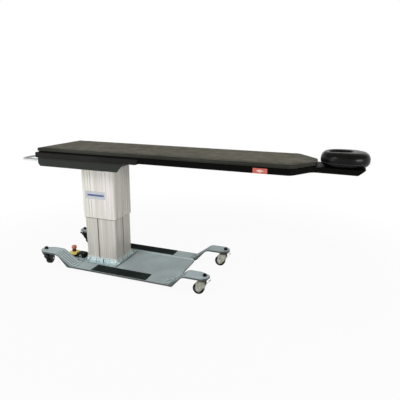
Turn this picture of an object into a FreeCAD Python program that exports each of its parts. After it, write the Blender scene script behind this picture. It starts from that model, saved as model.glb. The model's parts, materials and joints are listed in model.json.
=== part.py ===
import FreeCAD, Part
import math
import os

V = FreeCAD.Vector

# Radiography table: a carbon-fibre patient top cantilevered from a two-stage lifting column
# that stands on a low rolling base. Lengths are in millimetres. X runs from the foot end to
# the head end, Y from the near side to the far side, and Z up from the floor. The table is
# modelled with its column near the top of its stroke.

# ---------------------------------------------------------------- driving dimensions

# Mattress pad
pad_top_z = 920.0
pad_length = 1932.0
pad_width = 500.0
pad_thickness = 25.0
pad_taper_length = 130.0
pad_neck_width = 136.0
pad_foot_reach = 404.0          # from the column axis to the foot end of the pad
pad_corner_radius = 10.0
pad_shoulder_radius = 45.0
pad_neck_radius = 20.0
pad_edge_radius = 8.0
strip_thickness = 2.0           # hook-and-loop strips that hold the pad
strip_width = 50.0
strip_end_margin = 60.0
strip_side_margin = 45.0

# Carbon-fibre top with its head plate
top_thickness = 39.0
top_foot_margin = 3.0
top_side_inset = 7.0
top_corner_radius = 18.0
top_edge_radius = 4.0
neck_blend_radius = 80.0
head_neck_width = 212.0
head_end_width = 244.0
head_plate_reach = 280.0        # beyond the neck of the pad
head_plate_thickness = 33.0
head_plate_ramp = 90.0
head_end_rake = 42.0
head_corner_radius = 32.0
face_slot_length = 150.0
face_slot_width = 100.0

# Face cushion
cushion_length = 283.0
cushion_width = 262.0
cushion_thickness = 90.0
cushion_gap = 18.0              # from the neck of the pad to the cushion
cushion_plan_radius = 112.0
cushion_edge_radius = 43.0
cushion_hole_length = 126.0
cushion_hole_width = 84.0
cushion_hole_offset = 29.0      # from the middle of the cushion towards the neck
cushion_hole_edge_radius = 16.0
soft_gap = 0.3                  # air left under a soft piece that lifts off

# Side rails and foot crossbar
rail_height = 38.0
rail_leg = 8.6
rail_flange_width = 46.0
rail_flange_thickness = 7.0
rail_fit_gap = 0.4              # between the rails and the carbon top
rail_foot_overhang = 14.0
rail_head_reach = 419.0         # from the column axis to the raked end of the rails
rail_end_rake = 24.0
rail_chamfer = 3.0

# Carrier frame of rectangular tube
tube_width = 30.0
tube_height = 40.0
tube_wall = 3.0
carrier_half_spacing = 150.0
carrier_foot_reach = 385.0
carrier_head_reach = 232.0
carrier_side_gap = 19.0         # from the ends of the cross tubes to the cover walls

# Motor cover
cover_height = 64.0
cover_foot_reach = 417.0
cover_head_reach = 242.0
cover_end_rake = 57.0
cover_side_inset = 16.0
cover_sheet = 2.5
cover_flange = 12.0
cover_nose_length = 15.0
cover_nose_height = 20.0
cover_column_gap = 8.0
spacer_radius = 7.0
cover_screw_radius = 3.0
cover_screw_head_radius = 5.5
cover_screw_head = 3.0
control_length = 150.0
control_width = 210.0
control_height = 48.0

# Push handle
handle_rod_radius = 10.0
handle_projection = 180.0       # from the cover wall to the outside of the rod
handle_side_gap = 21.0          # from the side walls of the cover to the outside of the rod
handle_bend_radius = 24.0
handle_drop = 27.0              # rod axis below the top of the cover
handle_clearance = 0.5
socket_wall = 3.5

# Lifting column
outer_length_x = 275.0
outer_length_y = 236.0
outer_wall = 5.0
outer_height = 404.0
outer_corner_radius = 6.0
flute_pitch = 11.0
flute_width = 2.4
flute_depth = 0.9
channel_width = 7.0
channel_depth = 2.4
long_channels = (-80.0, -62.0, 74.0, 108.0)     # places along each long face, from its middle
short_channels = (-82.0, -14.0, 34.0, 68.0)
stage_gap = 3.5                 # between the two stages, taken up by the glides
inner_wall = 5.0
inner_corner_radius = 5.0
inner_overlap = 124.0           # of the two stages as the table stands
key_slot_width = 9.0
key_slot_depth = 3.0
key_slot_offset = 22.0
glide_height = 40.0
glide_clearance = 0.1
glide_width = 60.0
glide_inset = 2.0
column_plate_length = 330.0
column_plate_side_gap = 42.0    # from the ends of the cross tubes
column_plate_thickness = 12.0
plate_bolt_radius = 5.0
plate_bolt_inset = 20.0
bolt_head_ratio = 1.7
bolt_head_height = 6.0

# Lifting actuator inside the column
gearbox_length = 150.0
gearbox_width = 110.0
gearbox_height = 70.0
motor_radius = 36.0
motor_length = 140.0
jack_tube_radius = 32.0
jack_tube_top_z = 480.0
push_tube_radius = 24.0
push_tube_wall = 4.0
push_tube_engagement = 92.0
jack_clearance = 0.1
jack_flange_radius = 45.0
jack_flange_thickness = 10.0

# Column foot
foot_plate_length = 306.0
foot_plate_margin = 34.0        # beyond the gussets of the collar
foot_plate_side_gap = 4.0       # to the foot of the step beside the sunken floor
foot_plate_thickness = 6.0
foot_plate_corner_radius = 5.0
collar_height = 28.0
collar_thickness = 7.0
collar_gap = 0.2
collar_slot_width = 8.0
collar_slot_depth = 4.0
collar_slot_offset = 16.0       # middle of the slots, from the column axis towards the foot
gusset_thickness = 6.0
gusset_reach = 17.0
foot_bolt_radius = 5.0
foot_bolt_inset = 20.0

# Base pan
wheelbase = 1300.0
base_offset = 239.0             # from the column axis to the middle of the wheelbase
pan_sheet = 5.0
pan_lip = 12.0
floor_z = 36.0
rim_z = 46.0
joggle_width = 8.0
deck_length = 830.0
deck_width = 580.0
foot_tongue = 160.0
foot_tongue_near = 150.0        # from the middle plane to the near side of the tongue
foot_tongue_far = 5.0
arm_z = 135.0
arm_reach = 690.0               # from the middle of the wheelbase to each nose
slope_start = 400.0             # from the middle of the wheelbase to the foot of each arm's slope
slope_length = 120.0
lip_slope_start = 428.0         # the lips turn up later and more steeply than the sheet
lip_slope_length = 78.0
slope_bend_radius = 50.0
arm_outer_flare = 12.0
arm_width = 112.0
caster_side_inset = 58.5        # stem axes, from the outer edges of the arms
pan_bend_radius = 24.0
pan_corner_radius = 14.0
nose_taper = 78.0               # along the inner edge of each arm
nose_shoulder = 48.0            # along its outer edge
nose_corner_radius = 24.0
ridge_count = 4                 # on each arm
ridge_pitch = 22.0
ridge_width = 9.0
ridge_height = 3.0
ridge_run = 40.0                # along the deck beyond the foot of the slope

# Tread strips
tread_length = 450.0
tread_thickness = 3.0
tread_edge_gap = 4.0
tread_inner_gap = 10.0
tread_offset = 2.0              # from the middle of the wheelbase towards the head

# Casters
wheel_radius = 40.0
wheel_width = 30.0
tyre_thickness = 10.0
tread_round = 6.0
hub_boss_radius = 13.0
hub_web_recess = 5.0
hub_rim_step = 2.0
hub_fillet = 2.0
caster_trail = 42.0
axle_radius = 4.0
axle_head_radius = 7.0
axle_head_height = 4.5
axle_head_round = 2.5
running_clearance = 0.06
side_play = 0.3
fork_sheet = 3.0
fork_side_gap = 3.0
fork_half_length = 20.0
fork_lobe = 7.0                 # cheek left round the pedal's pin
fork_hood = 48.0                # height of the cheeks' rear edge above the axle
crown_thickness = 5.0
race_radius = 22.0
race_height = 12.0
race_round = 2.0
kingpin_radius = 5.0
kingpin_head_radius = 8.5
kingpin_head_height = 6.0
cap_nut_radius = 10.0
cap_nut_height = 8.0
cap_height = 18.0
cap_wall = 2.7
kingpin_end = 4.0               # thread showing above the nut
pedal_pin_radius = 3.0
pedal_pin_rivet = 1.0           # proud of each cheek
pedal_pivot_x = 5.0
pedal_pivot_drop = 50.0         # below the top face of the crown
pedal_sheet = 3.0
pedal_reach = 30.0
pedal_rise = 41.0
pedal_tread = 9.0
pedal_width = 28.0
shoe_gap = 2.6
shoe_depth = 20.0
near_foot_swivel = -80.0        # degrees that each foot caster is turned from trailing to the foot
far_foot_swivel = -150.0

# Emergency stop, junction box and lead
estop_size = 72.0
estop_base_inset = 6.0          # from the sides of the cover
estop_reach = 278.0             # from the column axis towards the foot end
estop_side = 84.0               # towards the near side
estop_base_height = 22.0
estop_cover_height = 16.0
estop_corner_radius = 18.0
estop_seat_radius = 15.0
estop_seat_height = 18.0
button_stem_radius = 9.0
button_stem_depth = 22.0
button_radius = 20.0
button_height = 25.0
button_edge_radius = 1.0
button_travel_gap = 6.0
box_length = 66.0
box_width = 50.0
box_height = 30.0
box_lid = 6.0
box_corner_radius = 6.0
box_side_gap = 4.0              # from the cover of the stop button
gland_radius = 8.0
gland_length = 16.0
lead_radius = 3.2
lead_bend_radius = 32.0
socket_ring_radius = 12.0
socket_ring_length = 7.0
inlet_width = 26.0
inlet_height = 22.0
inlet_depth = 5.0
inlet_recess = 3.5
inlet_gland_gap = 2.0
inlet_rim = 3.0
inlet_corner_radius = 2.0

# ---------------------------------------------------------------- derived places

handle_reach = cover_foot_reach + handle_projection
cushion_foot_reach = pad_length - pad_foot_reach + cushion_gap
cushion_head_reach = cushion_foot_reach + cushion_length
column_x = (handle_reach - cushion_head_reach) / 2

pad_foot_x = column_x - pad_foot_reach
pad_neck_x = pad_foot_x + pad_length
pad_shoulder_x = pad_neck_x - pad_taper_length
pad_bottom_z = pad_top_z - pad_thickness
top_top_z = pad_bottom_z - strip_thickness
top_bottom_z = top_top_z - top_thickness
top_foot_x = pad_foot_x - top_foot_margin
top_half = pad_width / 2 - top_side_inset
head_end_x = pad_neck_x + head_plate_reach
cushion_x = column_x + cushion_foot_reach + cushion_length / 2
hole_x = cushion_x - cushion_hole_offset

rail_outer_y = top_half + rail_fit_gap + rail_leg
rail_bottom_z = top_bottom_z - rail_flange_thickness
rail_foot_x = top_foot_x - rail_foot_overhang
rail_head_x = column_x + rail_head_reach

carrier_bottom_z = rail_bottom_z - tube_height
column_top_z = carrier_bottom_z - column_plate_thickness
outer_bottom_z = column_top_z - outer_height
cover_y = rail_outer_y - cover_side_inset
cover_bottom_z = rail_bottom_z - cover_height
cover_foot_x = column_x - cover_foot_reach
cover_head_x = column_x + cover_head_reach
carrier_foot_x = column_x - carrier_foot_reach
carrier_head_x = column_x + carrier_head_reach
carrier_half_width = cover_y - carrier_side_gap
handle_z = rail_bottom_z - handle_drop

inner_length_x = outer_length_x - 2 * (outer_wall + stage_gap)
inner_length_y = outer_length_y - 2 * (outer_wall + stage_gap)
inner_top_z = outer_bottom_z + inner_overlap
foot_plate_top_z = floor_z + foot_plate_thickness
collar_outer_y = inner_length_y / 2 + collar_gap + collar_thickness
foot_plate_half_y = collar_outer_y + gusset_reach + foot_plate_margin
column_plate_half_y = carrier_half_width - column_plate_side_gap

base_x = column_x + base_offset
deck_half = deck_length / 2
deck_edge_y = deck_width / 2
joggle_y = foot_plate_half_y + foot_plate_side_gap + joggle_width
slope_top = slope_start + slope_length
arm_outer_y = deck_edge_y + arm_outer_flare
arm_inner_y = arm_outer_y - arm_width
track = 2 * (arm_outer_y - caster_side_inset)

arm_bottom_z = arm_z - pan_sheet
crown_top_z = arm_bottom_z - race_height - side_play
fork_inner_y = wheel_width / 2 + fork_side_gap
fork_outer_y = fork_inner_y + fork_sheet
pedal_pivot_z = crown_top_z - pedal_pivot_drop


# ---------------------------------------------------------------- shape helpers

def place(plane, u, v, w):
    """The point (u, v) of a plane XY, XZ or YZ, at the height w along its normal."""
    if plane == "XY":
        return V(u, v, w)
    if plane == "XZ":
        return V(u, w, v)
    return V(w, u, v)


def outline(plane, corners, w):
    """A closed wire through corners (u, v) or (u, v, radius), rounded where a radius is given."""
    spans = []
    count = len(corners)
    for i, corner in enumerate(corners):
        radius = corner[2] if len(corner) > 2 else 0.0
        here = V(corner[0], corner[1], 0)
        if radius <= 0:
            spans.append((here, None, here))
            continue
        before = corners[i - 1]
        after = corners[(i + 1) % count]
        back = (V(before[0], before[1], 0) - here).normalize()
        ahead = (V(after[0], after[1], 0) - here).normalize()
        half_angle = back.getAngle(ahead) / 2
        reach = radius / math.tan(half_angle)
        middle = (back + ahead).normalize() * (radius / math.sin(half_angle) - radius)
        spans.append((here + back * reach, here + middle, here + ahead * reach))
    edges = []
    for i, (start, middle, end) in enumerate(spans):
        following = spans[(i + 1) % count][0]
        to_space = [place(plane, p.x, p.y, w) for p in (start, middle or start, end, following)]
        if middle:
            edges.append(Part.Arc(to_space[0], to_space[1], to_space[2]).toShape())
        if to_space[2].distanceToPoint(to_space[3]) > 1e-6:
            edges.append(Part.LineSegment(to_space[2], to_space[3]).toShape())
    return Part.Wire(edges)


def prism(plane, corners, start, end):
    """A straight solid on a rounded outline, between two places along the plane's normal."""
    face = Part.Face(outline(plane, corners, start))
    return face.extrude(place(plane, 0, 0, end - start))


def block(x0, x1, y0, y1, z0, z1):
    return Part.makeBox(x1 - x0, y1 - y0, z1 - z0, V(x0, y0, z0))


def rectangle(half_u, half_v, radius=0.0, centre=(0.0, 0.0)):
    """Corners of a rectangle about a centre, for outline and prism."""
    signs = [(-1, -1), (1, -1), (1, 1), (-1, 1)]
    return [(centre[0] + su * half_u, centre[1] + sv * half_v, radius) for su, sv in signs]


def cylinder(start, direction, radius, length):
    return Part.makeCylinder(radius, length, start, direction)


def hexagon(centre, direction, radius, height):
    """A hexagonal bolt head or nut standing on its centre."""
    turn = 2 * math.pi / 6
    points = [V(radius * math.cos(i * turn), radius * math.sin(i * turn), 0) for i in range(7)]
    head = Part.Face(Part.makePolygon(points)).extrude(V(0, 0, height))
    head.Placement = FreeCAD.Placement(centre, FreeCAD.Rotation(V(0, 0, 1), direction))
    return head


def revolved(profile, centre, direction):
    """A solid of revolution from (radius, height) corners, stood on a centre along a direction."""
    face = Part.Face(outline("XZ", profile, 0.0))
    solid = face.revolve(V(0, 0, 0), V(0, 0, 1), 360)
    solid.Placement = FreeCAD.Placement(centre, FreeCAD.Rotation(V(0, 0, 1), direction))
    return solid


def ring(centre, direction, outer, inner, height):
    return cylinder(centre, direction, outer, height).cut(cylinder(centre, direction, inner, height))


def far_side(shape):
    """The mirror image of a near-side shape across the table's middle plane."""
    return shape.mirror(V(0, 0, 0), V(0, 1, 0))


def rect_tube(x0, x1, y0, y1, z0, z1, along, wall):
    """A rectangular tube, open at both ends along X or Y."""
    inset_x = 0 if along == "X" else wall
    inset_y = 0 if along == "Y" else wall
    bore = block(x0 + inset_x, x1 - inset_x, y0 + inset_y, y1 - inset_y, z0 + wall, z1 - wall)
    return block(x0, x1, y0, y1, z0, z1).cut(bore)


def rounded(shape, radius, chosen):
    """The shape with a fillet on every edge that the chosen test accepts."""
    edges = [edge for edge in shape.Edges if chosen(edge.BoundBox)]
    return shape.makeFillet(radius, edges)


def at_height(z):
    """A test for edges that lie flat at one of these heights."""
    heights = z if isinstance(z, tuple) else (z,)

    def lies_flat(box):
        return any(abs(box.ZMin - h) < 1e-3 and abs(box.ZMax - h) < 1e-3 for h in heights)
    return lies_flat


def save(name, *solids):
    shape = solids[0] if len(solids) == 1 else Part.makeCompound(list(solids))
    shape.exportStep("parts/" + name + ".step")


# ---------------------------------------------------------------- patient top

def tapered_plan(foot_x, half, shoulder_x, neck_x, neck_half, corner, shoulder, neck):
    """Plan of a rectangular board whose head end tapers to a narrow neck."""
    near = [(foot_x, -half, corner), (shoulder_x, -half, shoulder), (neck_x, -neck_half, neck)]
    return near + [(x, -y, radius) for x, y, radius in reversed(near)]


def mattress_pad():
    plan = tapered_plan(pad_foot_x, pad_width / 2, pad_shoulder_x, pad_neck_x,
                        pad_neck_width / 2, pad_corner_radius, pad_shoulder_radius, pad_neck_radius)
    pad = prism("XY", plan, pad_bottom_z, pad_top_z)
    return rounded(pad, pad_edge_radius, at_height((pad_bottom_z, pad_top_z)))


def pad_strips():
    """Two strips of hook-and-loop tape along the pad."""
    inner_y = pad_width / 2 - strip_side_margin - strip_width
    start = pad_foot_x + strip_end_margin
    end = pad_shoulder_x - strip_end_margin
    near = block(start, end, -inner_y - strip_width, -inner_y, top_top_z, pad_bottom_z)
    return [near, far_side(near)]


def carbon_top():
    """Sandwich board with rounded edges and a thinner head plate, raked at its end and slotted."""
    neck_x = pad_neck_x - pad_neck_radius
    near = [
        (top_foot_x, -top_half, top_corner_radius),
        (pad_shoulder_x, -top_half, pad_shoulder_radius),
        (neck_x, -head_neck_width / 2, neck_blend_radius),
        (head_end_x, -head_end_width / 2, head_corner_radius),
    ]
    plan = near + [(x, -y, radius) for x, y, radius in reversed(near)]
    board = prism("XY", plan, top_bottom_z, top_top_z)
    head_bottom_z = top_top_z - head_plate_thickness
    relief = [
        (neck_x - head_plate_ramp, top_bottom_z),
        (neck_x, head_bottom_z, head_plate_ramp),
        (head_end_x, head_bottom_z),
        (head_end_x, top_bottom_z),
    ]
    board = rounded(board, top_edge_radius, at_height((top_bottom_z, top_top_z)))
    rake = [
        (head_end_x, head_bottom_z),
        (head_end_x, top_top_z),
        (head_end_x - head_end_rake, head_bottom_z),
    ]
    board = board.cut(prism("XZ", relief, -top_half, top_half))
    board = board.cut(prism("XZ", rake, -top_half, top_half))
    slot = rectangle(face_slot_length / 2, face_slot_width / 2, face_slot_width / 2, (hole_x, 0.0))
    return board.cut(prism("XY", slot, top_bottom_z, top_top_z))


def face_cushion():
    """Padded ring that lifts off the head plate."""
    bottom = top_top_z + soft_gap
    top = bottom + cushion_thickness
    plan = rectangle(cushion_length / 2, cushion_width / 2, cushion_plan_radius, (cushion_x, 0.0))
    body = rounded(prism("XY", plan, bottom, top), cushion_edge_radius, at_height((bottom, top)))
    half_length = cushion_hole_length / 2
    half_width = cushion_hole_width / 2
    hole = rectangle(half_length, half_width, half_width, (hole_x, 0.0))
    body = body.cut(prism("XY", hole, bottom, top))

    def rim_of_hole(box):
        inside_x = max(box.XMax - hole_x, hole_x - box.XMin) < half_length + cushion_hole_edge_radius
        inside_y = max(box.YMax, -box.YMin) < half_width + cushion_hole_edge_radius
        return at_height((bottom, top))(box) and inside_x and inside_y
    return rounded(body, cushion_hole_edge_radius, rim_of_hole)


def side_rail():
    """Near-side angle that carries the edge of the top; its head end is raked."""
    top_z = rail_bottom_z + rail_height
    inner_y = rail_outer_y - rail_leg
    section = [
        (-rail_outer_y, rail_bottom_z, rail_chamfer),
        (-rail_outer_y, top_z - rail_chamfer),
        (-rail_outer_y + rail_chamfer, top_z),
        (-inner_y, top_z),
        (-inner_y, top_bottom_z),
        (-rail_outer_y + rail_flange_width, top_bottom_z),
        (-rail_outer_y + rail_flange_width, rail_bottom_z),
    ]
    rail = prism("YZ", section, rail_foot_x, rail_head_x)
    rake = [
        (rail_head_x, rail_bottom_z),
        (rail_head_x, top_z),
        (rail_head_x - rail_end_rake, rail_bottom_z),
    ]
    return rail.cut(prism("XZ", rake, -rail_outer_y, 0.0))


def foot_crossbar():
    """Box section that closes the rails at the foot end."""
    inner_y = rail_outer_y - rail_leg
    end_x = top_foot_x - rail_fit_gap
    return rect_tube(rail_foot_x, end_x, -inner_y, inner_y, top_bottom_z,
                     rail_bottom_z + rail_height, "Y", tube_wall)


def cross_tube_places():
    """Foot-side faces of the cross tubes: at both ends and above the edges of the column plate."""
    plate_half = column_plate_length / 2
    return [
        carrier_foot_x,
        column_x - plate_half,
        column_x + plate_half - tube_width,
        carrier_head_x - tube_width,
    ]


def carrier_frame():
    """Welded ladder of rectangular tube that ties the column to the rails."""
    frame = None
    starts = cross_tube_places()
    for start in starts:
        bar = rect_tube(start, start + tube_width, -carrier_half_width, carrier_half_width,
                        carrier_bottom_z, rail_bottom_z, "Y", tube_wall)
        frame = bar if frame is None else frame.fuse(bar)
    for start, following in zip(starts, starts[1:]):
        near = rect_tube(start + tube_width, following, -carrier_half_spacing - tube_width / 2,
                         -carrier_half_spacing + tube_width / 2, carrier_bottom_z, rail_bottom_z,
                         "X", tube_wall)
        frame = frame.fuse(near).fuse(far_side(near))
    return frame


def spacer_places():
    starts = cross_tube_places()
    half_tube = tube_width / 2
    y = carrier_half_width - tube_width
    return [(x + half_tube, side * y) for x in (starts[0], starts[1]) for side in (-1, 1)]


def motor_cover():
    """Folded sheet trough under the rails, open towards the head and notched for the column."""
    raked_x = cover_head_x + cover_end_rake
    foot_inner = cover_foot_x + cover_sheet
    floor = cover_bottom_z + cover_sheet
    nose_z = cover_bottom_z + cover_nose_height
    nose_x = cover_foot_x + cover_nose_length
    shell = prism("XZ", [
        (cover_foot_x, rail_bottom_z),
        (cover_foot_x, nose_z, cover_sheet),
        (nose_x, cover_bottom_z, cover_sheet),
        (cover_head_x, cover_bottom_z),
        (raked_x, rail_bottom_z),
    ], -cover_y, cover_y)
    inner_y = cover_y - cover_sheet
    hollow = prism("XZ", [
        (foot_inner, rail_bottom_z),
        (foot_inner, nose_z),
        (nose_x + cover_sheet / 2, floor),
        (raked_x, floor),
        (raked_x, rail_bottom_z),
    ], -inner_y, inner_y)
    cover = shell.cut(hollow)
    column_foot_x = column_x - outer_length_x / 2 - cover_column_gap
    column_head_x = column_x + outer_length_x / 2
    notch_y = outer_length_y / 2 + cover_column_gap
    cover = cover.cut(block(column_foot_x, raked_x, -notch_y, notch_y, cover_bottom_z, floor))
    flange_y = inner_y - cover_flange
    cover = cover.cut(block(column_head_x, raked_x, -flange_y, flange_y, cover_bottom_z, floor))
    flange = block(foot_inner, cover_head_x, -inner_y, -flange_y,
                   rail_bottom_z - cover_sheet, rail_bottom_z)
    cover = cover.fuse(flange).fuse(far_side(flange))
    for side in (-1, 1):
        leg = V(cover_foot_x, side * handle_leg_y(), handle_z)
        cover = cover.cut(cylinder(leg, V(1, 0, 0), handle_rod_radius + handle_clearance, cover_sheet))
    for x, y in spacer_places():
        cover = cover.cut(cylinder(V(x, y, cover_bottom_z), V(0, 0, 1), cover_screw_radius, cover_sheet))
    return cover


def cover_spacers():
    floor = cover_bottom_z + cover_sheet
    height = carrier_bottom_z - floor
    return [ring(V(x, y, floor), V(0, 0, 1), spacer_radius, cover_screw_radius, height)
            for x, y in spacer_places()]


def cover_screws():
    """Pan-head screws up through the cover and its spacers to the carrier frame."""
    screws = []
    for x, y in spacer_places():
        shank = cylinder(V(x, y, cover_bottom_z), V(0, 0, 1), cover_screw_radius,
                         carrier_bottom_z - cover_bottom_z)
        head = cylinder(V(x, y, cover_bottom_z - cover_screw_head), V(0, 0, 1),
                        cover_screw_head_radius, cover_screw_head)
        screws.append(shank.fuse(rounded(head, cover_screw_head / 3,
                                         at_height(cover_bottom_z - cover_screw_head))))
    return screws


def control_unit():
    """Drive electronics on the floor of the cover, between the carrier's long tubes."""
    floor = cover_bottom_z + cover_sheet
    middle_x = (carrier_foot_x + tube_width + column_x - column_plate_length / 2) / 2
    plan = rectangle(control_length / 2, control_width / 2, box_corner_radius, (middle_x, 0.0))
    return prism("XY", plan, floor, floor + control_height)


# ---------------------------------------------------------------- push handle

def handle_leg_y():
    return cover_y - handle_side_gap - handle_rod_radius


def push_handle():
    """Bent rod: two legs out of the cover joined by a cross bar."""
    outer_x = column_x - handle_reach + handle_rod_radius
    leg_y = handle_leg_y()
    bend = handle_bend_radius
    diagonal = bend * (1 - math.sqrt(0.5))
    start = V(carrier_foot_x, -leg_y, handle_z)
    path = Part.Wire([
        Part.LineSegment(start, V(outer_x + bend, -leg_y, handle_z)).toShape(),
        Part.Arc(V(outer_x + bend, -leg_y, handle_z),
                 V(outer_x + diagonal, -leg_y + diagonal, handle_z),
                 V(outer_x, -leg_y + bend, handle_z)).toShape(),
        Part.LineSegment(V(outer_x, -leg_y + bend, handle_z),
                         V(outer_x, leg_y - bend, handle_z)).toShape(),
        Part.Arc(V(outer_x, leg_y - bend, handle_z),
                 V(outer_x + diagonal, leg_y - diagonal, handle_z),
                 V(outer_x + bend, leg_y, handle_z)).toShape(),
        Part.LineSegment(V(outer_x + bend, leg_y, handle_z),
                         V(carrier_foot_x, leg_y, handle_z)).toShape(),
    ])
    section = Part.Wire([Part.makeCircle(handle_rod_radius, start, V(-1, 0, 0))])
    return path.makePipeShell([section], True, False)


def handle_sockets():
    """Bosses on the carrier frame that hold the handle legs."""
    sockets = []
    for side in (-1, 1):
        start = V(cover_foot_x + cover_sheet, side * handle_leg_y(), handle_z)
        length = carrier_foot_x - start.x
        sockets.append(ring(start, V(1, 0, 0), handle_rod_radius + socket_wall, handle_rod_radius, length))
    return sockets


# ---------------------------------------------------------------- lifting column

def fluted_side(length, channels):
    """Grooves along one side of the outer stage, as (start, end, depth) from the side's middle."""
    reach = length / 2 - outer_corner_radius - flute_pitch / 2
    grooves = [(c - channel_width / 2, c + channel_width / 2, channel_depth)
               for c in channels if abs(c) < reach]
    count = int(reach / flute_pitch)
    for i in range(-count, count + 1):
        centre = i * flute_pitch
        if min(abs(centre - c) for c in channels) > channel_width:
            grooves.append((centre - flute_width / 2, centre + flute_width / 2, flute_depth))
    return sorted(grooves)


def fluted_outline(z):
    """Outer outline of the moving stage: a rectangle with fluted faces and chamfered corners."""
    half_x = outer_length_x / 2
    half_y = outer_length_y / 2
    points = []
    sides = (
        (half_x, half_y, V(1, 0, 0), V(0, -1, 0), long_channels),
        (half_y, half_x, V(0, 1, 0), V(1, 0, 0), short_channels),
        (half_x, half_y, V(-1, 0, 0), V(0, 1, 0), long_channels),
        (half_y, half_x, V(0, -1, 0), V(-1, 0, 0), short_channels),
    )
    for half_length, distance, along, outwards, channels in sides:
        face = outwards * distance
        corner = half_length - outer_corner_radius
        points.append(face - along * corner)
        for start, end, depth in fluted_side(2 * half_length, channels):
            points.append(face + along * start)
            points.append(face + along * start - outwards * depth)
            points.append(face + along * end - outwards * depth)
            points.append(face + along * end)
        points.append(face + along * corner)
    moved = [V(column_x + p.x, p.y, z) for p in points]
    return Part.makePolygon(moved + moved[:1])


def column_outer_stage():
    """Extruded moving stage with fine flutes and deeper channels on all four faces."""
    shell = Part.Face(fluted_outline(outer_bottom_z)).extrude(V(0, 0, outer_height))
    bore = rectangle(outer_length_x / 2 - outer_wall, outer_length_y / 2 - outer_wall,
                     outer_corner_radius, (column_x, 0.0))
    return shell.cut(prism("XY", bore, outer_bottom_z, column_top_z))


def column_inner_stage():
    """Fixed extruded stage with a key slot down each face."""
    half_x = inner_length_x / 2
    half_y = inner_length_y / 2
    outside = rectangle(half_x, half_y, inner_corner_radius, (column_x, 0.0))
    bore = rectangle(half_x - inner_wall, half_y - inner_wall, inner_corner_radius, (column_x, 0.0))
    stage = prism("XY", outside, foot_plate_top_z, inner_top_z)
    stage = stage.cut(prism("XY", bore, foot_plate_top_z, inner_top_z))
    slot_half = key_slot_width / 2
    slot_x = column_x - key_slot_offset
    for side in (-1, 1):
        face_y = sorted((side * half_y, side * (half_y - key_slot_depth)))
        stage = stage.cut(block(slot_x - slot_half, slot_x + slot_half, face_y[0], face_y[1],
                                foot_plate_top_z, inner_top_z))
        face_x = sorted((column_x + side * half_x, column_x + side * (half_x - key_slot_depth)))
        stage = stage.cut(block(face_x[0], face_x[1], -slot_half, slot_half,
                                foot_plate_top_z, inner_top_z))
    return stage


def glide_set(bottom_z, inner_gap, outer_gap):
    """Slide pads between the stages, two on each long face and one on each short face."""
    half_x = inner_length_x / 2
    half_y = inner_length_y / 2
    top_z = bottom_z + glide_height
    near_y = half_y + inner_gap
    far_y = half_y + stage_gap - outer_gap
    pads = []
    for side in (-1, 1):
        centre = column_x + side * (half_x - inner_corner_radius - glide_width / 2 - glide_inset)
        pad = block(centre - glide_width / 2, centre + glide_width / 2, -far_y, -near_y, bottom_z, top_z)
        pads += [pad, far_side(pad)]
        near_x = half_x + inner_gap
        far_x = half_x + stage_gap - outer_gap
        xs = sorted((column_x + side * near_x, column_x + side * far_x))
        end_y = half_y - inner_corner_radius - glide_inset
        start_y = end_y - glide_width
        end_pad = block(xs[0], xs[1], -end_y, -start_y, bottom_z, top_z)
        pads += [end_pad, far_side(end_pad)]
    return pads


def column_top_plate():
    plan = rectangle(column_plate_length / 2, column_plate_half_y, outer_corner_radius, (column_x, 0.0))
    plate = prism("XY", plan, column_top_z, carrier_bottom_z)
    for x, y in top_bolt_places():
        plate = plate.cut(cylinder(V(x, y, column_top_z), V(0, 0, 1), plate_bolt_radius,
                                   column_plate_thickness))
    return plate


def top_bolt_places():
    x = column_plate_length / 2 - tube_width / 2
    y = column_plate_half_y - plate_bolt_inset
    return [(column_x + sx * x, sy * y) for sx in (-1, 1) for sy in (-1, 1)]


def top_plate_bolts():
    bolts = []
    for x, y in top_bolt_places():
        head = hexagon(V(x, y, column_top_z), V(0, 0, -1), plate_bolt_radius * bolt_head_ratio,
                       bolt_head_height)
        shank = cylinder(V(x, y, column_top_z), V(0, 0, 1), plate_bolt_radius, column_plate_thickness)
        bolts.append(head.fuse(shank))
    return bolts


def actuator_body():
    """Gearbox, side motor and jack tube that stand on the foot plate."""
    bottom = foot_plate_top_z
    plan = rectangle(gearbox_length / 2, gearbox_width / 2, box_corner_radius, (column_x, 0.0))
    gearbox = prism("XY", plan, bottom, bottom + gearbox_height)
    tube_z = bottom + gearbox_height
    tube = cylinder(V(column_x, 0, tube_z), V(0, 0, 1), jack_tube_radius, jack_tube_top_z - tube_z)
    motor_x = column_x + inner_length_x / 2 - inner_wall - motor_radius - glide_inset
    motor = cylinder(V(motor_x, 0, tube_z), V(0, 0, 1), motor_radius, motor_length)
    shoulder = block(column_x, motor_x, -motor_radius, motor_radius, bottom, tube_z)
    foot = cylinder(V(motor_x, 0, bottom), V(0, 0, 1), motor_radius, gearbox_height)
    body = gearbox.fuse([tube, motor, shoulder, foot])
    bore_radius = push_tube_radius + jack_clearance
    return body.cut(cylinder(V(column_x, 0, tube_z), V(0, 0, 1), bore_radius, jack_tube_top_z - tube_z))


def actuator_push_tube():
    """Moving tube of the jack, flanged to the plate on top of the column."""
    bottom = jack_tube_top_z - push_tube_engagement
    tube = ring(V(column_x, 0, bottom), V(0, 0, 1), push_tube_radius,
                push_tube_radius - push_tube_wall, column_top_z - bottom)
    flange = cylinder(V(column_x, 0, column_top_z - jack_flange_thickness), V(0, 0, 1),
                      jack_flange_radius, jack_flange_thickness)
    return tube.fuse(flange)


# ---------------------------------------------------------------- column foot

def foot_bolt_places():
    x = foot_plate_length / 2 - foot_bolt_inset
    y = foot_plate_half_y - foot_bolt_inset
    return [(column_x + sx * x, sy * y) for sx in (-1, 1) for sy in (-1, 1)]


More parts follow.
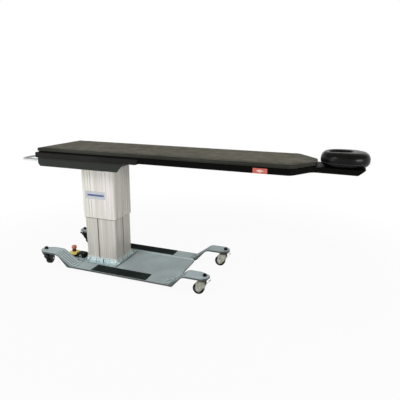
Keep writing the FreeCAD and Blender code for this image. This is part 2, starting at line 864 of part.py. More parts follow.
def foot_plate():
    plan = rectangle(foot_plate_length / 2, foot_plate_half_y, foot_plate_corner_radius, (column_x, 0.0))
    plate = prism("XY", plan, floor_z, foot_plate_top_z)
    for x, y in foot_bolt_places():
        plate = plate.cut(cylinder(V(x, y, floor_z), V(0, 0, 1), foot_bolt_radius, foot_plate_thickness))
    return plate


def foot_bolts():
    bolts = []
    for x, y in foot_bolt_places():
        head = hexagon(V(x, y, foot_plate_top_z), V(0, 0, 1), foot_bolt_radius * bolt_head_ratio,
                       bolt_head_height)
        shank = cylinder(V(x, y, floor_z - pan_sheet), V(0, 0, 1), foot_bolt_radius,
                         foot_plate_thickness + pan_sheet)
        bolts.append(head.fuse(shank))
    return bolts


def foot_collar():
    """Clamp ring round the fixed stage, slotted beside its corners and braced by gussets."""
    bottom = foot_plate_top_z
    top = bottom + collar_height
    inner_x = inner_length_x / 2 + collar_gap
    inner_y = inner_length_y / 2 + collar_gap
    outer_x = inner_x + collar_thickness
    outer_y = collar_outer_y
    outside = rectangle(outer_x, outer_y, inner_corner_radius + collar_thickness, (column_x, 0.0))
    bore = rectangle(inner_x, inner_y, inner_corner_radius, (column_x, 0.0))
    collar = prism("XY", outside, bottom, top).cut(prism("XY", bore, bottom, top))
    half_slot = collar_slot_width / 2
    slot_reach = inner_x / 4
    for sx in (-1, 1):
        x = column_x - collar_slot_offset + sx * slot_reach
        near = block(x - half_slot, x + half_slot, -outer_y, -outer_y + collar_slot_depth, bottom, top)
        collar = collar.cut(near).cut(far_side(near))
        xs = sorted((column_x + sx * outer_x, column_x + sx * (outer_x - collar_slot_depth)))
        end = block(xs[0], xs[1], -inner_y / 3 - half_slot, -inner_y / 3 + half_slot, bottom, top)
        collar = collar.cut(end).cut(far_side(end))
    gusset_z = top - collar_thickness
    brace = [(0.0, bottom), (gusset_reach, bottom), (0.0, gusset_z)]
    half = gusset_thickness / 2
    braces = []
    for sx in (-1, 1):
        x = column_x + sx * (outer_x - collar_thickness - inner_corner_radius - half)
        side_brace = prism("YZ", [(-outer_y - u + half, z) for u, z in brace], x - half, x + half)
        braces += [side_brace, far_side(side_brace)]
        y = -outer_y + collar_thickness + inner_corner_radius + half
        end_brace = prism("XZ", [(column_x + sx * (outer_x + u - half), z) for u, z in brace],
                          y - half, y + half)
        braces += [end_brace, far_side(end_brace)]
    return collar.fuse(braces)


# ---------------------------------------------------------------- base pan

def four_fold(quarter):
    """A closed outline from the corners of its head-side far quarter, X from the base's middle."""
    far = [(-x, y, r) for x, y, r in reversed(quarter)] + quarter
    whole = far + [(x, -y, r) for x, y, r in reversed(far)]
    return [(base_x + x, y, r) for x, y, r in whole]


def pan_plan(inset):
    """Plan of the deck with its four arms, drawn in by an inset for the lips."""
    edge = deck_edge_y - inset
    outer = arm_outer_y - inset
    inner = arm_inner_y + inset
    nose = arm_reach - inset
    end = deck_half - inset
    root = joggle_y + inset
    middle = (arm_outer_y + arm_inner_y) / 2
    corner = nose_corner_radius - inset
    return four_fold([
        (deck_half - pan_bend_radius, edge, pan_bend_radius),
        (slope_top, outer, pan_bend_radius),
        (nose - nose_shoulder, outer, corner),
        (nose - nose_shoulder / 3, middle + arm_width / 4, corner),
        (nose, middle - arm_width / 6, corner),
        (nose - nose_taper, inner, corner),
        (slope_top, inner, pan_bend_radius),
        (end, root, pan_corner_radius),
    ])


def fold_line(start, length, drop):
    """Side profile of the deck and arms, lowered by a drop, for slopes of a given start and length."""
    half = [
        (start, rim_z - drop, pan_bend_radius),
        (start + length, arm_z - drop, slope_bend_radius),
        (arm_reach, arm_z - drop, 0.0),
    ]
    return [(base_x - x, z, r) for x, z, r in reversed(half)] + [(base_x + x, z, r) for x, z, r in half]


def pan_slab(top, bottom):
    """Full-width slab between two fold lines."""
    return prism("XZ", top + bottom[::-1], -arm_outer_y, arm_outer_y)


def tray(upper, lower, start, end):
    """Sunken floor of the deck between its two rims, as a folded slab."""
    step = joggle_y - joggle_width
    surface = [(-joggle_y, rim_z, 0.0), (-step, floor_z, joggle_width / 2),
               (step, floor_z, joggle_width / 2), (joggle_y, rim_z, 0.0)]
    top = [(y, z + upper, r) for y, z, r in surface]
    bottom = [(y, z + lower, r) for y, z, r in reversed(surface)]
    return prism("YZ", top + bottom, base_x + start, base_x + end)


def ridge(start, end):
    """Pressed stiffening ridge between two points (x, y) of a head-side far arm."""
    along = V(end[0] - start[0], end[1] - start[1], 0).normalize()
    across = V(-along.y, along.x, 0) * (ridge_width / 2)
    corners = [V(*start, 0) - across, V(*end, 0) - across, V(*end, 0) + across, V(*start, 0) + across]
    plan = [(base_x + c.x, c.y, ridge_width / 2) for c in corners]
    return prism("XY", plan, 0.0, arm_z + pan_lip)


def base_pan():
    """Pressed deck with lipped edges, a sunken floor and four ridged arms that rise to the casters."""
    top = fold_line(slope_start, slope_length, 0.0)
    underside = fold_line(slope_start, slope_length, pan_sheet)
    lip_edge = fold_line(lip_slope_start, lip_slope_length, pan_lip)
    plan = prism("XY", pan_plan(0.0), 0.0, arm_z + pan_lip)
    rim = plan.cut(prism("XY", pan_plan(pan_sheet), 0.0, arm_z + pan_lip))
    lips = pan_slab(top, lip_edge)
    pan = pan_slab(top, underside).common(plan).fuse(lips.common(rim))
    pan = pan.cut(block(base_x - deck_half, base_x + deck_half, -joggle_y, joggle_y, 0.0, arm_z))
    for end in (-deck_half, deck_half):
        side_wall = lips.common(block(base_x + min(end, end / 2), base_x + max(end, end / 2),
                                      -joggle_y - pan_sheet, -joggle_y, rim_z - pan_sheet, arm_z))
        pan = pan.fuse([side_wall, far_side(side_wall)])
    floor = tray(0.0, -pan_sheet, -deck_half, deck_half)
    lip = tray(0.0, -pan_lip, deck_half - pan_sheet, deck_half)
    tongue_end = deck_half + foot_tongue
    tongue_plan = [
        (base_x - tongue_end, -foot_tongue_near, pan_corner_radius),
        (base_x - deck_half, -foot_tongue_near),
        (base_x - deck_half, foot_tongue_far),
        (base_x - tongue_end, foot_tongue_far, pan_corner_radius),
    ]
    tongue = prism("XY", tongue_plan, floor_z - pan_sheet, floor_z)
    pan = pan.fuse([floor, lip, tongue])
    raised = pan_slab(fold_line(slope_start, slope_length, -ridge_height),
                      fold_line(slope_start, slope_length, pan_sheet / 2))
    for i in range(ridge_count):
        inset = (i + 1) * ridge_pitch
        head_far = raised.common(ridge((slope_top, arm_outer_y - inset),
                                       (slope_start - ridge_run, deck_edge_y - inset)))
        foot_far = head_far.mirror(V(base_x, 0, 0), V(1, 0, 0))
        pan = pan.fuse([head_far, foot_far, far_side(head_far), far_side(foot_far)])
    for x, y in foot_bolt_places():
        pan = pan.cut(cylinder(V(x, y, floor_z - pan_sheet), V(0, 0, 1), foot_bolt_radius, pan_sheet))
    for x, y in caster_places():
        pan = pan.cut(cylinder(V(x, y, arm_bottom_z), V(0, 0, 1), kingpin_radius, pan_sheet))
    return pan


def tread_strips():
    """Rubber strips on the rims of the deck."""
    outer_y = deck_edge_y - tread_edge_gap
    half = tread_length / 2
    near = block(base_x + tread_offset - half, base_x + tread_offset + half, -outer_y,
                 -joggle_y - tread_inner_gap, rim_z, rim_z + tread_thickness)
    near = near.makeChamfer(tread_thickness / 3,
                            [e for e in near.Edges if at_height(rim_z + tread_thickness)(e.BoundBox)])
    return [near, far_side(near)]


# ---------------------------------------------------------------- casters

def caster_places():
    """Stem axes in the order head near, head far, foot near, foot far."""
    return [(base_x + sx * wheelbase / 2, sy * track / 2) for sx in (1, -1) for sy in (-1, 1)]


def caster_swivels():
    """Name, place and turn of each caster; a turn of 0 trails towards the foot end."""
    names = ("head_near", "head_far", "foot_near", "foot_far")
    turns = (0.0, 0.0, near_foot_swivel, far_foot_swivel)
    return list(zip(names, caster_places(), turns))


def fork():
    """Pressed fork: crown, two cheeks, and the riveted pivot pin of the brake pedal."""
    top = crown_top_z
    half = fork_half_length
    lobe = hub_boss_radius + fork_sheet
    side = [
        (-half, top),
        (half, top),
        (half, top - 2 * crown_thickness, fork_lobe),
        (pedal_pivot_x, pedal_pivot_z + 3 * fork_lobe, fork_lobe),
        (pedal_pivot_x + fork_lobe, pedal_pivot_z, fork_lobe / 2),
        (pedal_pivot_x, pedal_pivot_z - fork_lobe, fork_lobe / 2),
        (-caster_trail + lobe, wheel_radius - lobe, lobe),
        (-caster_trail - lobe, wheel_radius - lobe, lobe),
        (-caster_trail - lobe, wheel_radius + fork_hood, lobe),
    ]
    cheek = prism("XZ", side, -fork_outer_y, -fork_inner_y)
    crown = prism("XY", rectangle(half, fork_outer_y), top - crown_thickness, top)
    body = crown.fuse([cheek, far_side(cheek)])
    pin_half = fork_outer_y + pedal_pin_rivet
    pin = cylinder(V(pedal_pivot_x, -pin_half, pedal_pivot_z), V(0, 1, 0), pedal_pin_radius,
                   2 * pin_half)
    body = body.fuse(pin)
    bore = cylinder(V(0, 0, top - crown_thickness), V(0, 0, 1), kingpin_radius + running_clearance,
                    crown_thickness)
    axle_hole = cylinder(V(-caster_trail, -fork_outer_y, wheel_radius), V(0, 1, 0), axle_radius,
                         2 * fork_outer_y)
    return body.cut(bore).cut(axle_hole)


def wheel_hub():
    """Moulded wheel centre with a recessed web and a boss on each side."""
    half = wheel_width / 2
    rim = wheel_radius - tyre_thickness
    boss = fork_inner_y - side_play
    bore = axle_radius + running_clearance
    profile = [
        (bore, -boss),
        (hub_boss_radius, -boss),
        (hub_boss_radius, -half + hub_web_recess, hub_fillet),
        (rim - 2 * hub_rim_step, -half + hub_web_recess, hub_fillet),
        (rim - hub_rim_step, -half),
        (rim, -half),
        (rim, half),
        (rim - hub_rim_step, half),
        (rim - 2 * hub_rim_step, half - hub_web_recess, hub_fillet),
        (hub_boss_radius, half - hub_web_recess, hub_fillet),
        (hub_boss_radius, boss),
        (bore, boss),
    ]
    return revolved(profile, V(-caster_trail, 0, wheel_radius), V(0, 1, 0))


def wheel_tyre():
    half = wheel_width / 2
    rim = wheel_radius - tyre_thickness
    profile = [
        (rim, -half),
        (wheel_radius, -half, tread_round),
        (wheel_radius, half, tread_round),
        (rim, half),
    ]
    return revolved(profile, V(-caster_trail, 0, wheel_radius), V(0, 1, 0))


def wheel_axle():
    """Axle bolt with a domed head and a nut against the cheeks."""
    shank = cylinder(V(-caster_trail, -fork_outer_y, wheel_radius), V(0, 1, 0), axle_radius,
                     2 * fork_outer_y)
    head = revolved([(0.0, 0.0), (axle_head_radius, 0.0), (axle_head_radius, axle_head_height, axle_head_round),
                     (0.0, axle_head_height)],
                    V(-caster_trail, -fork_outer_y, wheel_radius), V(0, -1, 0))
    nut = hexagon(V(-caster_trail, fork_outer_y, wheel_radius), V(0, 1, 0), axle_head_radius,
                  axle_head_height)
    return shank.fuse([head, nut])


def brake_pedal():
    """Lever on the fork's pin: a strip rising to the tread in front, and a shoe facing the tyre."""
    width = pedal_width / 2
    sheet = pedal_sheet
    boss_radius = pedal_pin_radius + sheet
    boss_y = fork_inner_y - side_play
    boss = cylinder(V(pedal_pivot_x, -boss_y, pedal_pivot_z), V(0, 1, 0), boss_radius, 2 * boss_y)
    tip_x = pedal_pivot_x + pedal_reach
    tip_z = pedal_pivot_z + pedal_rise
    plate = prism("XZ", [
        (pedal_pivot_x - sheet / 2, pedal_pivot_z + sheet / 2),
        (tip_x - sheet, tip_z),
        (tip_x + pedal_tread - sheet, tip_z),
        (tip_x + pedal_tread - sheet, tip_z - sheet),
        (tip_x, tip_z - sheet),
        (pedal_pivot_x + sheet, pedal_pivot_z - sheet / 2),
    ], -width, width)
    shoe_radius = wheel_radius + shoe_gap
    low_z = pedal_pivot_z - shoe_depth
    high_z = low_z + shoe_depth / 3
    low_x = -caster_trail + math.sqrt(shoe_radius ** 2 - (low_z - wheel_radius) ** 2)
    high_x = -caster_trail + math.sqrt(shoe_radius ** 2 - (high_z - wheel_radius) ** 2)
    shoe = prism("XZ", [
        (low_x, low_z),
        (high_x, high_z),
        (pedal_pivot_x - sheet, pedal_pivot_z - sheet),
        (pedal_pivot_x + sheet, pedal_pivot_z),
        (high_x + 2 * sheet, high_z),
        (low_x + sheet, low_z),
    ], -width / 2, width / 2)
    bore = cylinder(V(pedal_pivot_x, -boss_y, pedal_pivot_z), V(0, 1, 0),
                    pedal_pin_radius + running_clearance, 2 * boss_y)
    return boss.fuse([plate, shoe]).cut(bore)


def caster_stem(x, y):
    """Kingpin with its head under the fork crown and its nut on top of the arm."""
    crown_bottom = crown_top_z - crown_thickness - side_play
    head = cylinder(V(x, y, crown_bottom - kingpin_head_height), V(0, 0, 1), kingpin_head_radius,
                    kingpin_head_height)
    nut = hexagon(V(x, y, arm_z), V(0, 0, 1), cap_nut_radius, cap_nut_height)
    shank = cylinder(V(x, y, crown_bottom), V(0, 0, 1), kingpin_radius,
                     arm_z + cap_nut_height + kingpin_end - crown_bottom)
    return head.fuse([shank, nut])


def caster_race(x, y):
    """Upper half of the swivel bearing, seated under the arm."""
    profile = [
        (kingpin_radius, 0.0),
        (race_radius * 0.75, 0.0),
        (race_radius, race_height * 0.45, race_round),
        (race_radius, race_height),
        (kingpin_radius, race_height),
    ]
    return revolved(profile, V(x, y, arm_bottom_z - race_height), V(0, 0, 1))


def caster_cap(x, y):
    """Domed cap over the kingpin nut."""
    inner = cap_nut_radius + side_play
    outer = inner + cap_wall
    ceiling = cap_height - cap_wall
    dome = outer * 0.6
    profile = [
        (inner, 0.0),
        (outer, 0.0),
        (outer, cap_height, dome),
        (0.0, cap_height),
        (0.0, ceiling),
        (inner, ceiling, dome - cap_wall),
    ]
    return revolved(profile, V(x, y, arm_z), V(0, 0, 1))


# ---------------------------------------------------------------- stop button, box and lead

def estop_place():
    return column_x - estop_reach, -estop_side


def estop_base():
    half = estop_size / 2 - estop_base_inset
    plan = rectangle(half, half, estop_corner_radius - estop_base_inset, estop_place())
    return prism("XY", plan, floor_z, floor_z + estop_base_height)


def estop_cover():
    """Yellow upper half of the enclosure, domed at its edge and bored for the button."""
    x, y = estop_place()
    bottom = floor_z + estop_base_height
    top = bottom + estop_cover_height
    plan = rectangle(estop_size / 2, estop_size / 2, estop_corner_radius, (x, y))
    cover = rounded(prism("XY", plan, bottom, top), estop_corner_radius * 0.6, at_height(top))
    well = button_stem_depth - estop_seat_height
    bore = cylinder(V(x, y, top - well), V(0, 0, 1), button_stem_radius + running_clearance, well)
    return cover.cut(bore)


def estop_seat():
    """Round seat that the button sinks towards."""
    x, y = estop_place()
    bottom = floor_z + estop_base_height + estop_cover_height
    return ring(V(x, y, bottom), V(0, 0, 1), estop_seat_radius,
                button_stem_radius + running_clearance, estop_seat_height)


def estop_button():
    """Mushroom head on its stem."""
    x, y = estop_place()
    seat_top = floor_z + estop_base_height + estop_cover_height + estop_seat_height
    head_z = seat_top + button_travel_gap
    head = revolved([
        (0.0, 0.0),
        (button_radius * 0.9, 0.0),
        (button_radius, button_height * 0.2, button_edge_radius),
        (button_radius, button_height * 0.62),
        (button_radius * 0.72, button_height, button_height * 0.4),
        (0.0, button_height),
    ], V(x, y, head_z), V(0, 0, 1))
    stem_length = button_travel_gap + button_stem_depth - 2 * button_travel_gap
    stem = cylinder(V(x, y, head_z - stem_length), V(0, 0, 1), button_stem_radius, stem_length)
    return head.fuse(stem)


def box_centre():
    """Middle of the junction box in plan: beside the stop button, with their far faces in line."""
    x, y = estop_place()
    far_y = y + estop_size / 2 - estop_base_inset
    return x + estop_size / 2 + box_side_gap + box_length / 2, far_y - box_width / 2


def box_plan():
    return rectangle(box_length / 2, box_width / 2, box_corner_radius, box_centre())


def junction_box():
    return prism("XY", box_plan(), floor_z, floor_z + box_height)


def junction_lid():
    bottom = floor_z + box_height
    lid = prism("XY", box_plan(), bottom, bottom + box_lid)
    return rounded(lid, box_lid / 3, at_height(bottom + box_lid))


def lead_route():
    """Ends of the lead's half turn, from the far face of the stop button to that of the box."""
    x, y = estop_place()
    exit_y = y + estop_size / 2 - estop_base_inset
    z = floor_z + estop_base_height / 2
    return V(x, exit_y, z), V(x + 2 * lead_bend_radius, exit_y, z)


def gland(start, direction):
    """Cable gland: hexagonal body and domed nut, bored for the lead."""
    body = hexagon(start, direction, gland_radius, gland_length / 3)
    nut = Part.makeCone(gland_radius * 0.92, lead_radius * 1.4, gland_length * 2 / 3,
                        start + direction * (gland_length / 3), direction)
    bore = cylinder(start, direction, lead_radius, gland_length)
    return body.fuse(nut).cut(bore)


def cable_glands():
    return [gland(start, V(0, 1, 0)) for start in lead_route()]


def estop_lead():
    """Short lead from the stop button to the junction box, straight in its glands and bent between."""
    start, end = lead_route()
    straight = V(0, gland_length, 0)
    middle = (start + end) / 2 + straight + V(0, lead_bend_radius, 0)
    path = Part.Wire([
        Part.LineSegment(start, start + straight).toShape(),
        Part.Arc(start + straight, middle, end + straight).toShape(),
        Part.LineSegment(end + straight, end).toShape(),
    ])
    section = Part.Wire([Part.makeCircle(lead_radius, start, V(0, 1, 0))])
    lead = path.makePipeShell([section], True, False)
    print("lead bend radius", lead_bend_radius, "and length", round(path.Length, 1))
    return lead


def control_socket():
    """Round connector for the hand control on the near face of the junction box."""
    x, y = box_centre()
    start = V(x, y - box_width / 2, floor_z + box_height / 2)
    return ring(start, V(0, -1, 0), socket_ring_radius, socket_ring_radius * 0.6, socket_ring_length)


def power_inlet():
    """Recessed appliance inlet on the far face of the junction box, beside the lead's gland."""
    gland_end = lead_route()[1]
    face_y = gland_end.y
    mouth_y = face_y + inlet_depth
    centre = (gland_end.x + gland_radius + inlet_gland_gap + inlet_width / 2, floor_z + box_height / 2)
    body = rectangle(inlet_width / 2, inlet_height / 2, inlet_corner_radius, centre)
    recess = rectangle(inlet_width / 2 - inlet_rim, inlet_height / 2 - inlet_rim,
                       inlet_corner_radius, centre)
    return prism("XZ", body, face_y, mouth_y).cut(prism("XZ", recess, mouth_y - inlet_recess, mouth_y))


# ---------------------------------------------------------------- write every node

os.makedirs("parts", exist_ok=True)

save("mattress_pad", mattress_pad())
save("pad_strips", *pad_strips())
save("carbon_top", carbon_top())
save("face_cushion", face_cushion())
save("side_rail_near", side_rail())
save("side_rail_far", far_side(side_rail()))
save("foot_crossbar", foot_crossbar())
save("carrier_frame", carrier_frame())
save("motor_cover", motor_cover())
save("cover_spacers", *cover_spacers())
save("cover_screws", *cover_screws())
save("control_unit", control_unit())
save("push_handle", push_handle())
save("handle_sockets", *handle_sockets())

save("column_outer_stage", column_outer_stage())
save("column_inner_stage", column_inner_stage())
save("lower_glides", *glide_set(outer_bottom_z, glide_clearance, 0.0))
save("upper_glides", *glide_set(inner_top_z - glide_height, 0.0, glide_clearance))
save("column_top_plate", column_top_plate())
save("top_plate_bolts", *top_plate_bolts())
save("actuator_body", actuator_body())
save("actuator_push_tube", actuator_push_tube())

save("foot_plate", foot_plate())
save("foot_bolts", *foot_bolts())
save("foot_collar", foot_collar())
save("base_pan", base_pan())
save("tread_strips", *tread_strips())

save("caster_stems", *[caster_stem(x, y) for x, y in caster_places()])
save("caster_races", *[caster_race(x, y) for x, y in caster_places()])
save("caster_caps", *[caster_cap(x, y) for x, y in caster_places()])
caster_pieces = {
    "fork": fork(),
    "axle": wheel_axle(),
    "hub": wheel_hub(),
    "tyre": wheel_tyre(),
    "pedal": brake_pedal(),
}
for name, (x, y), turn in caster_swivels():
    swivelled = FreeCAD.Placement(V(x, y, 0), FreeCAD.Rotation(V(0, 0, 1), turn))
    for piece, shape in caster_pieces.items():
        turned = shape.copy()
        turned.Placement = swivelled * turned.Placement
        save("caster_" + piece + "_" + name, turned)

save("estop_base", estop_base())
save("estop_cover", estop_cover())
save("estop_seat", estop_seat())
save("estop_button", estop_button())
save("junction_box", junction_box())
save("junction_lid", junction_lid())
save("cable_glands", *cable_glands())
save("estop_lead", estop_lead())
save("control_socket", control_socket())
save("power_inlet", power_inlet())
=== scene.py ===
import json
import math

import bmesh
import bpy
from mathutils import Matrix, Vector, noise


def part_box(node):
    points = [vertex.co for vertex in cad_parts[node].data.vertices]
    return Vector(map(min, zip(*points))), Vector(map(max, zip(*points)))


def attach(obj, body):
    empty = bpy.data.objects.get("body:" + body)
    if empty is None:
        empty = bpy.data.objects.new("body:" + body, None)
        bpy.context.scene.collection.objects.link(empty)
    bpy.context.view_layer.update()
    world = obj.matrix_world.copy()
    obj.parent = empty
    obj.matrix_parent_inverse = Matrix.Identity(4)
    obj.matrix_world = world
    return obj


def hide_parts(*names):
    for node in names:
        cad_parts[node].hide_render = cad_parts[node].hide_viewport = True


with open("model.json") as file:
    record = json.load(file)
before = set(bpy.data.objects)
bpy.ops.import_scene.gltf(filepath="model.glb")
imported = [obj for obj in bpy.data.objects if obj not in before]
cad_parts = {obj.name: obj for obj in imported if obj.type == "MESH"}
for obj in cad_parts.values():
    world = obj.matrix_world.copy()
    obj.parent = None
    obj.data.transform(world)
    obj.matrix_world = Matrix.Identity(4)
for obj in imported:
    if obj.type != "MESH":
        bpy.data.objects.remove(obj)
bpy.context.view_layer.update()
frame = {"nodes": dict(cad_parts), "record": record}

nodes = frame["nodes"]

# Lengths are in metres, in the frame's axes: +X to the head end, +Y to the far side, +Z up.
MM = 0.001


# ---------------------------------------------------------------- camera and lamps

COLUMN_X = sum(corner.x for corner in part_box("column_outer_stage")) / 2

LENS_MM = 35.5
SENSOR_MM = 36.0
CAMERA_PLACE = Vector((COLUMN_X + 1.6759, -2.5112, 1.3150))
CAMERA_YAW = 20.02                  # degrees, turned from +Y towards the foot end
CAMERA_PITCH = 15.285               # degrees below level
CAMERA_ROLL = 0.593

LAMPS = (                           # name, place, aim, size and watts
    ("front_softbox", (-2.6, -3.7, 1.2), (-0.4, 0.0, 0.7), (2.4, 1.4), 50.0),
    ("side_softbox", (2.33, -1.0, 1.25), (1.07, 0.0, 0.93), (0.9, 0.35), 26.0),
    ("high_softbox", (-1.2, -3.2, 3.2), (-0.3, 0.0, 0.3), (2.0, 1.6), 80.0),
)


def add_object(name, data):
    """An object of this data, linked into the scene."""
    item = bpy.data.objects.new(name, data)
    bpy.context.scene.collection.objects.link(item)
    return item


def add_camera():
    """The camera at its fitted place, turned, tilted and rolled in that order."""
    camera = add_object("camera", bpy.data.cameras.new("camera"))
    camera.data.lens = LENS_MM
    camera.data.sensor_width = SENSOR_MM
    camera.data.clip_end = 100.0
    turn = Matrix.Rotation(math.radians(CAMERA_YAW), 4, "Z")
    tilt = Matrix.Rotation(math.radians(90.0 - CAMERA_PITCH), 4, "X")
    roll = Matrix.Rotation(math.radians(CAMERA_ROLL), 4, "Z")
    camera.matrix_world = Matrix.Translation(CAMERA_PLACE) @ turn @ tilt @ roll
    bpy.context.scene.camera = camera


def add_lamp(name, place, aim, size, watts):
    """A rectangular softbox at a place, turned to face another."""
    lamp = bpy.data.lights.new(name, "AREA")
    lamp.shape = "RECTANGLE"
    lamp.size, lamp.size_y = size
    lamp.energy = watts
    holder = add_object(name, lamp)
    holder.location = place
    holder.rotation_euler = (Vector(aim) - Vector(place)).to_track_quat("-Z", "Y").to_euler()


# ---------------------------------------------------------------- nodes and meshes

MIX_COLOUR = 2                      # which output of a Mix node carries its colour
MERGE_DISTANCE = 1e-6


def add_node(tree, kind, inputs=(), **settings):
    """One node with its settings, and each input, by name or in order, set or linked from a socket."""
    node = tree.nodes.new(kind)
    for setting, value in settings.items():
        setattr(node, setting, value)
    for key, value in inputs.items() if isinstance(inputs, dict) else enumerate(inputs):
        if isinstance(value, bpy.types.NodeSocket):
            tree.links.new(value, node.inputs[key])
        else:
            node.inputs[key].default_value = value
    return node


def linear(hex_colour):
    """An sRGB hex colour as linear red, green, blue and alpha."""
    channels = []
    for i in (0, 2, 4):
        value = int(hex_colour[i:i + 2], 16) / 255
        channels.append(value / 12.92 if value <= 0.04045 else ((value + 0.055) / 1.055) ** 2.4)
    return (*channels, 1.0)


class Finish:
    """A material with its Principled shader, and the object coordinates its patterns read."""

    def __init__(self, name, hex_colour, roughness, **shader_inputs):
        self.material = bpy.data.materials.new(name)
        self.material.use_nodes = True
        self.material.diffuse_color = linear(hex_colour)
        self.tree = self.material.node_tree
        self.tree.nodes.clear()
        inputs = {"Base Color": linear(hex_colour), "Roughness": roughness}
        for key, value in shader_inputs.items():
            inputs[key.replace("_", " ")] = value
        self.shader = add_node(self.tree, "ShaderNodeBsdfPrincipled", inputs)
        add_node(self.tree, "ShaderNodeOutputMaterial", {"Surface": self.shader.outputs["BSDF"]})
        self.place = add_node(self.tree, "ShaderNodeTexCoord").outputs["Object"]

    def mottle(self, size, detail=2.0, stretch=(1.0, 1.0, 1.0), contrast=(0.35, 0.65)):
        """Cloudy noise whose patches are about this size, from 0 to 1."""
        spread = add_node(self.tree, "ShaderNodeMapping", {"Vector": self.place, "Scale": stretch})
        cloud = add_node(self.tree, "ShaderNodeTexNoise", {
            "Vector": spread.outputs["Vector"], "Scale": 1.0 / size, "Detail": detail})
        ramp = add_node(self.tree, "ShaderNodeMapRange", {
            "Value": cloud.outputs["Fac"], "From Min": contrast[0], "From Max": contrast[1]})
        return ramp.outputs["Result"]

    def upward(self):
        """How far a face looks upwards, from -1 to 1."""
        normal = add_node(self.tree, "ShaderNodeNewGeometry").outputs["True Normal"]
        return add_node(self.tree, "ShaderNodeSeparateXYZ", {"Vector": normal}).outputs["Z"]

    def tint(self, amount, over, under, **settings):
        """Base colour that goes from under to over with an amount; each is a hex colour or a tint."""
        below, above = (linear(tone) if isinstance(tone, str) else tone for tone in (under, over))
        mixed = add_node(self.tree, "ShaderNodeMix", {
            "Factor": amount, "A": below, "B": above}, data_type="RGBA", **settings)
        self.tree.links.new(mixed.outputs[MIX_COLOUR], self.shader.inputs["Base Color"])
        return mixed.outputs[MIX_COLOUR]

    def vary_roughness(self, amount, low, high):
        """Roughness that runs from low to high with an amount."""
        span = add_node(self.tree, "ShaderNodeMapRange", {"Value": amount, "To Min": low, "To Max": high})
        self.tree.links.new(span.outputs["Result"], self.shader.inputs["Roughness"])

    def relief(self, height, depth, strength=1.0, under=None):
        """Bump of this depth in metres, laid over another bump where one is given."""
        inputs = {"Height": height, "Distance": depth, "Strength": strength}
        if under is not None:
            inputs["Normal"] = under
        bump = add_node(self.tree, "ShaderNodeBump", inputs)
        self.tree.links.new(bump.outputs["Normal"], self.shader.inputs["Normal"])
        return bump.outputs["Normal"]


def add_piece(name, mesh, body, slot, material=None):
    """A finished mesh as a piece that rides on a body, in its slot's finish unless one is given."""
    piece = add_object(name, mesh)
    mesh.materials.clear()
    mesh.materials.append(material or SLOT_FINISHES[slot])
    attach(piece, body)
    return piece


def mesh_of(shape, name, smooth=True):
    """A bmesh as a mesh, with its faces turned outwards."""
    bmesh.ops.remove_doubles(shape, verts=shape.verts, dist=MERGE_DISTANCE)
    bmesh.ops.recalc_face_normals(shape, faces=shape.faces)
    mesh = bpy.data.meshes.new(name)
    shape.to_mesh(mesh)
    shape.free()
    mesh.polygons.foreach_set("use_smooth", [smooth] * len(mesh.polygons))
    return mesh


def loft(shape, rings, closed=False):
    """Quads between rings of as many points each, and back to the first ring where it is closed."""
    following = rings[1:] + rings[:1] if closed else rings[1:]
    for ring, after in zip(rings, following):
        for i in range(len(ring)):
            j = (i + 1) % len(ring)
            shape.faces.new((ring[i], ring[j], after[j], after[i]))


def evaluated_mesh(item):
    """A new mesh with what the modifiers of an object make of it."""
    graph = bpy.context.evaluated_depsgraph_get()
    return bpy.data.meshes.new_from_object(item.evaluated_get(graph))


def reshape(piece, kind, **settings):
    """Puts a piece through one modifier and keeps the result as its mesh."""
    modifier = piece.modifiers.new("reshape", kind)
    for setting, value in settings.items():
        setattr(modifier, setting, value)
    shaped = evaluated_mesh(piece)
    piece.modifiers.clear()
    piece.data = shaped


def add_block(shape, low, high):
    """A plain block in a bmesh from its two corners."""
    size = high - low
    place = Matrix.Translation((low + high) / 2) @ Matrix.Diagonal((*size, 1.0))
    bmesh.ops.create_cube(shape, size=1.0, matrix=place)


def arc_corner(before, corner, after, radius, steps):
    """Points of the arc that rounds a corner between two straight lines in plan."""
    back = (before - corner).normalized()
    ahead = (after - corner).normalized()
    half_angle = back.angle(ahead) / 2
    start = corner + back * (radius / math.tan(half_angle))
    end = corner + ahead * (radius / math.tan(half_angle))
    centre = corner + (back + ahead).normalized() * (radius / math.sin(half_angle))
    points = [start.lerp(end, i / steps) - centre for i in range(steps + 1)]
    return [centre + point.normalized() * radius for point in points]


def rounded_plan(centre, half_x, half_y, radius, steps):
    """Points of a rounded rectangle in plan, anticlockwise."""
    points = []
    corners = ((1, 1, 0.0), (-1, 1, 90.0), (-1, -1, 180.0), (1, -1, 270.0))
    for sx, sy, start in corners:
        for i in range(steps + 1):
            angle = math.radians(start + 90.0 * i / steps)
            points.append(Vector((
                centre.x + sx * (half_x - radius) + radius * math.cos(angle),
                centre.y + sy * (half_y - radius) + radius * math.sin(angle))))
    return points


# ---------------------------------------------------------------- materials

def plain_finish(name, hex_colour, roughness, clouds=None, haze=None, grain=None, **shader_inputs):
    """One colour clouded by (size, detail, light, dark), its roughness by (size, low, high), and a
    surface grain of (size, detail, depth, strength)."""
    finish = Finish(name, hex_colour, roughness, **shader_inputs)
    if clouds:
        finish.tint(finish.mottle(*clouds[:2]), *clouds[2:])
    if haze:
        finish.vary_roughness(finish.mottle(haze[0]), *haze[1:])
    if grain:
        finish.relief(finish.mottle(*grain[:2]), *grain[2:])
    return finish.material


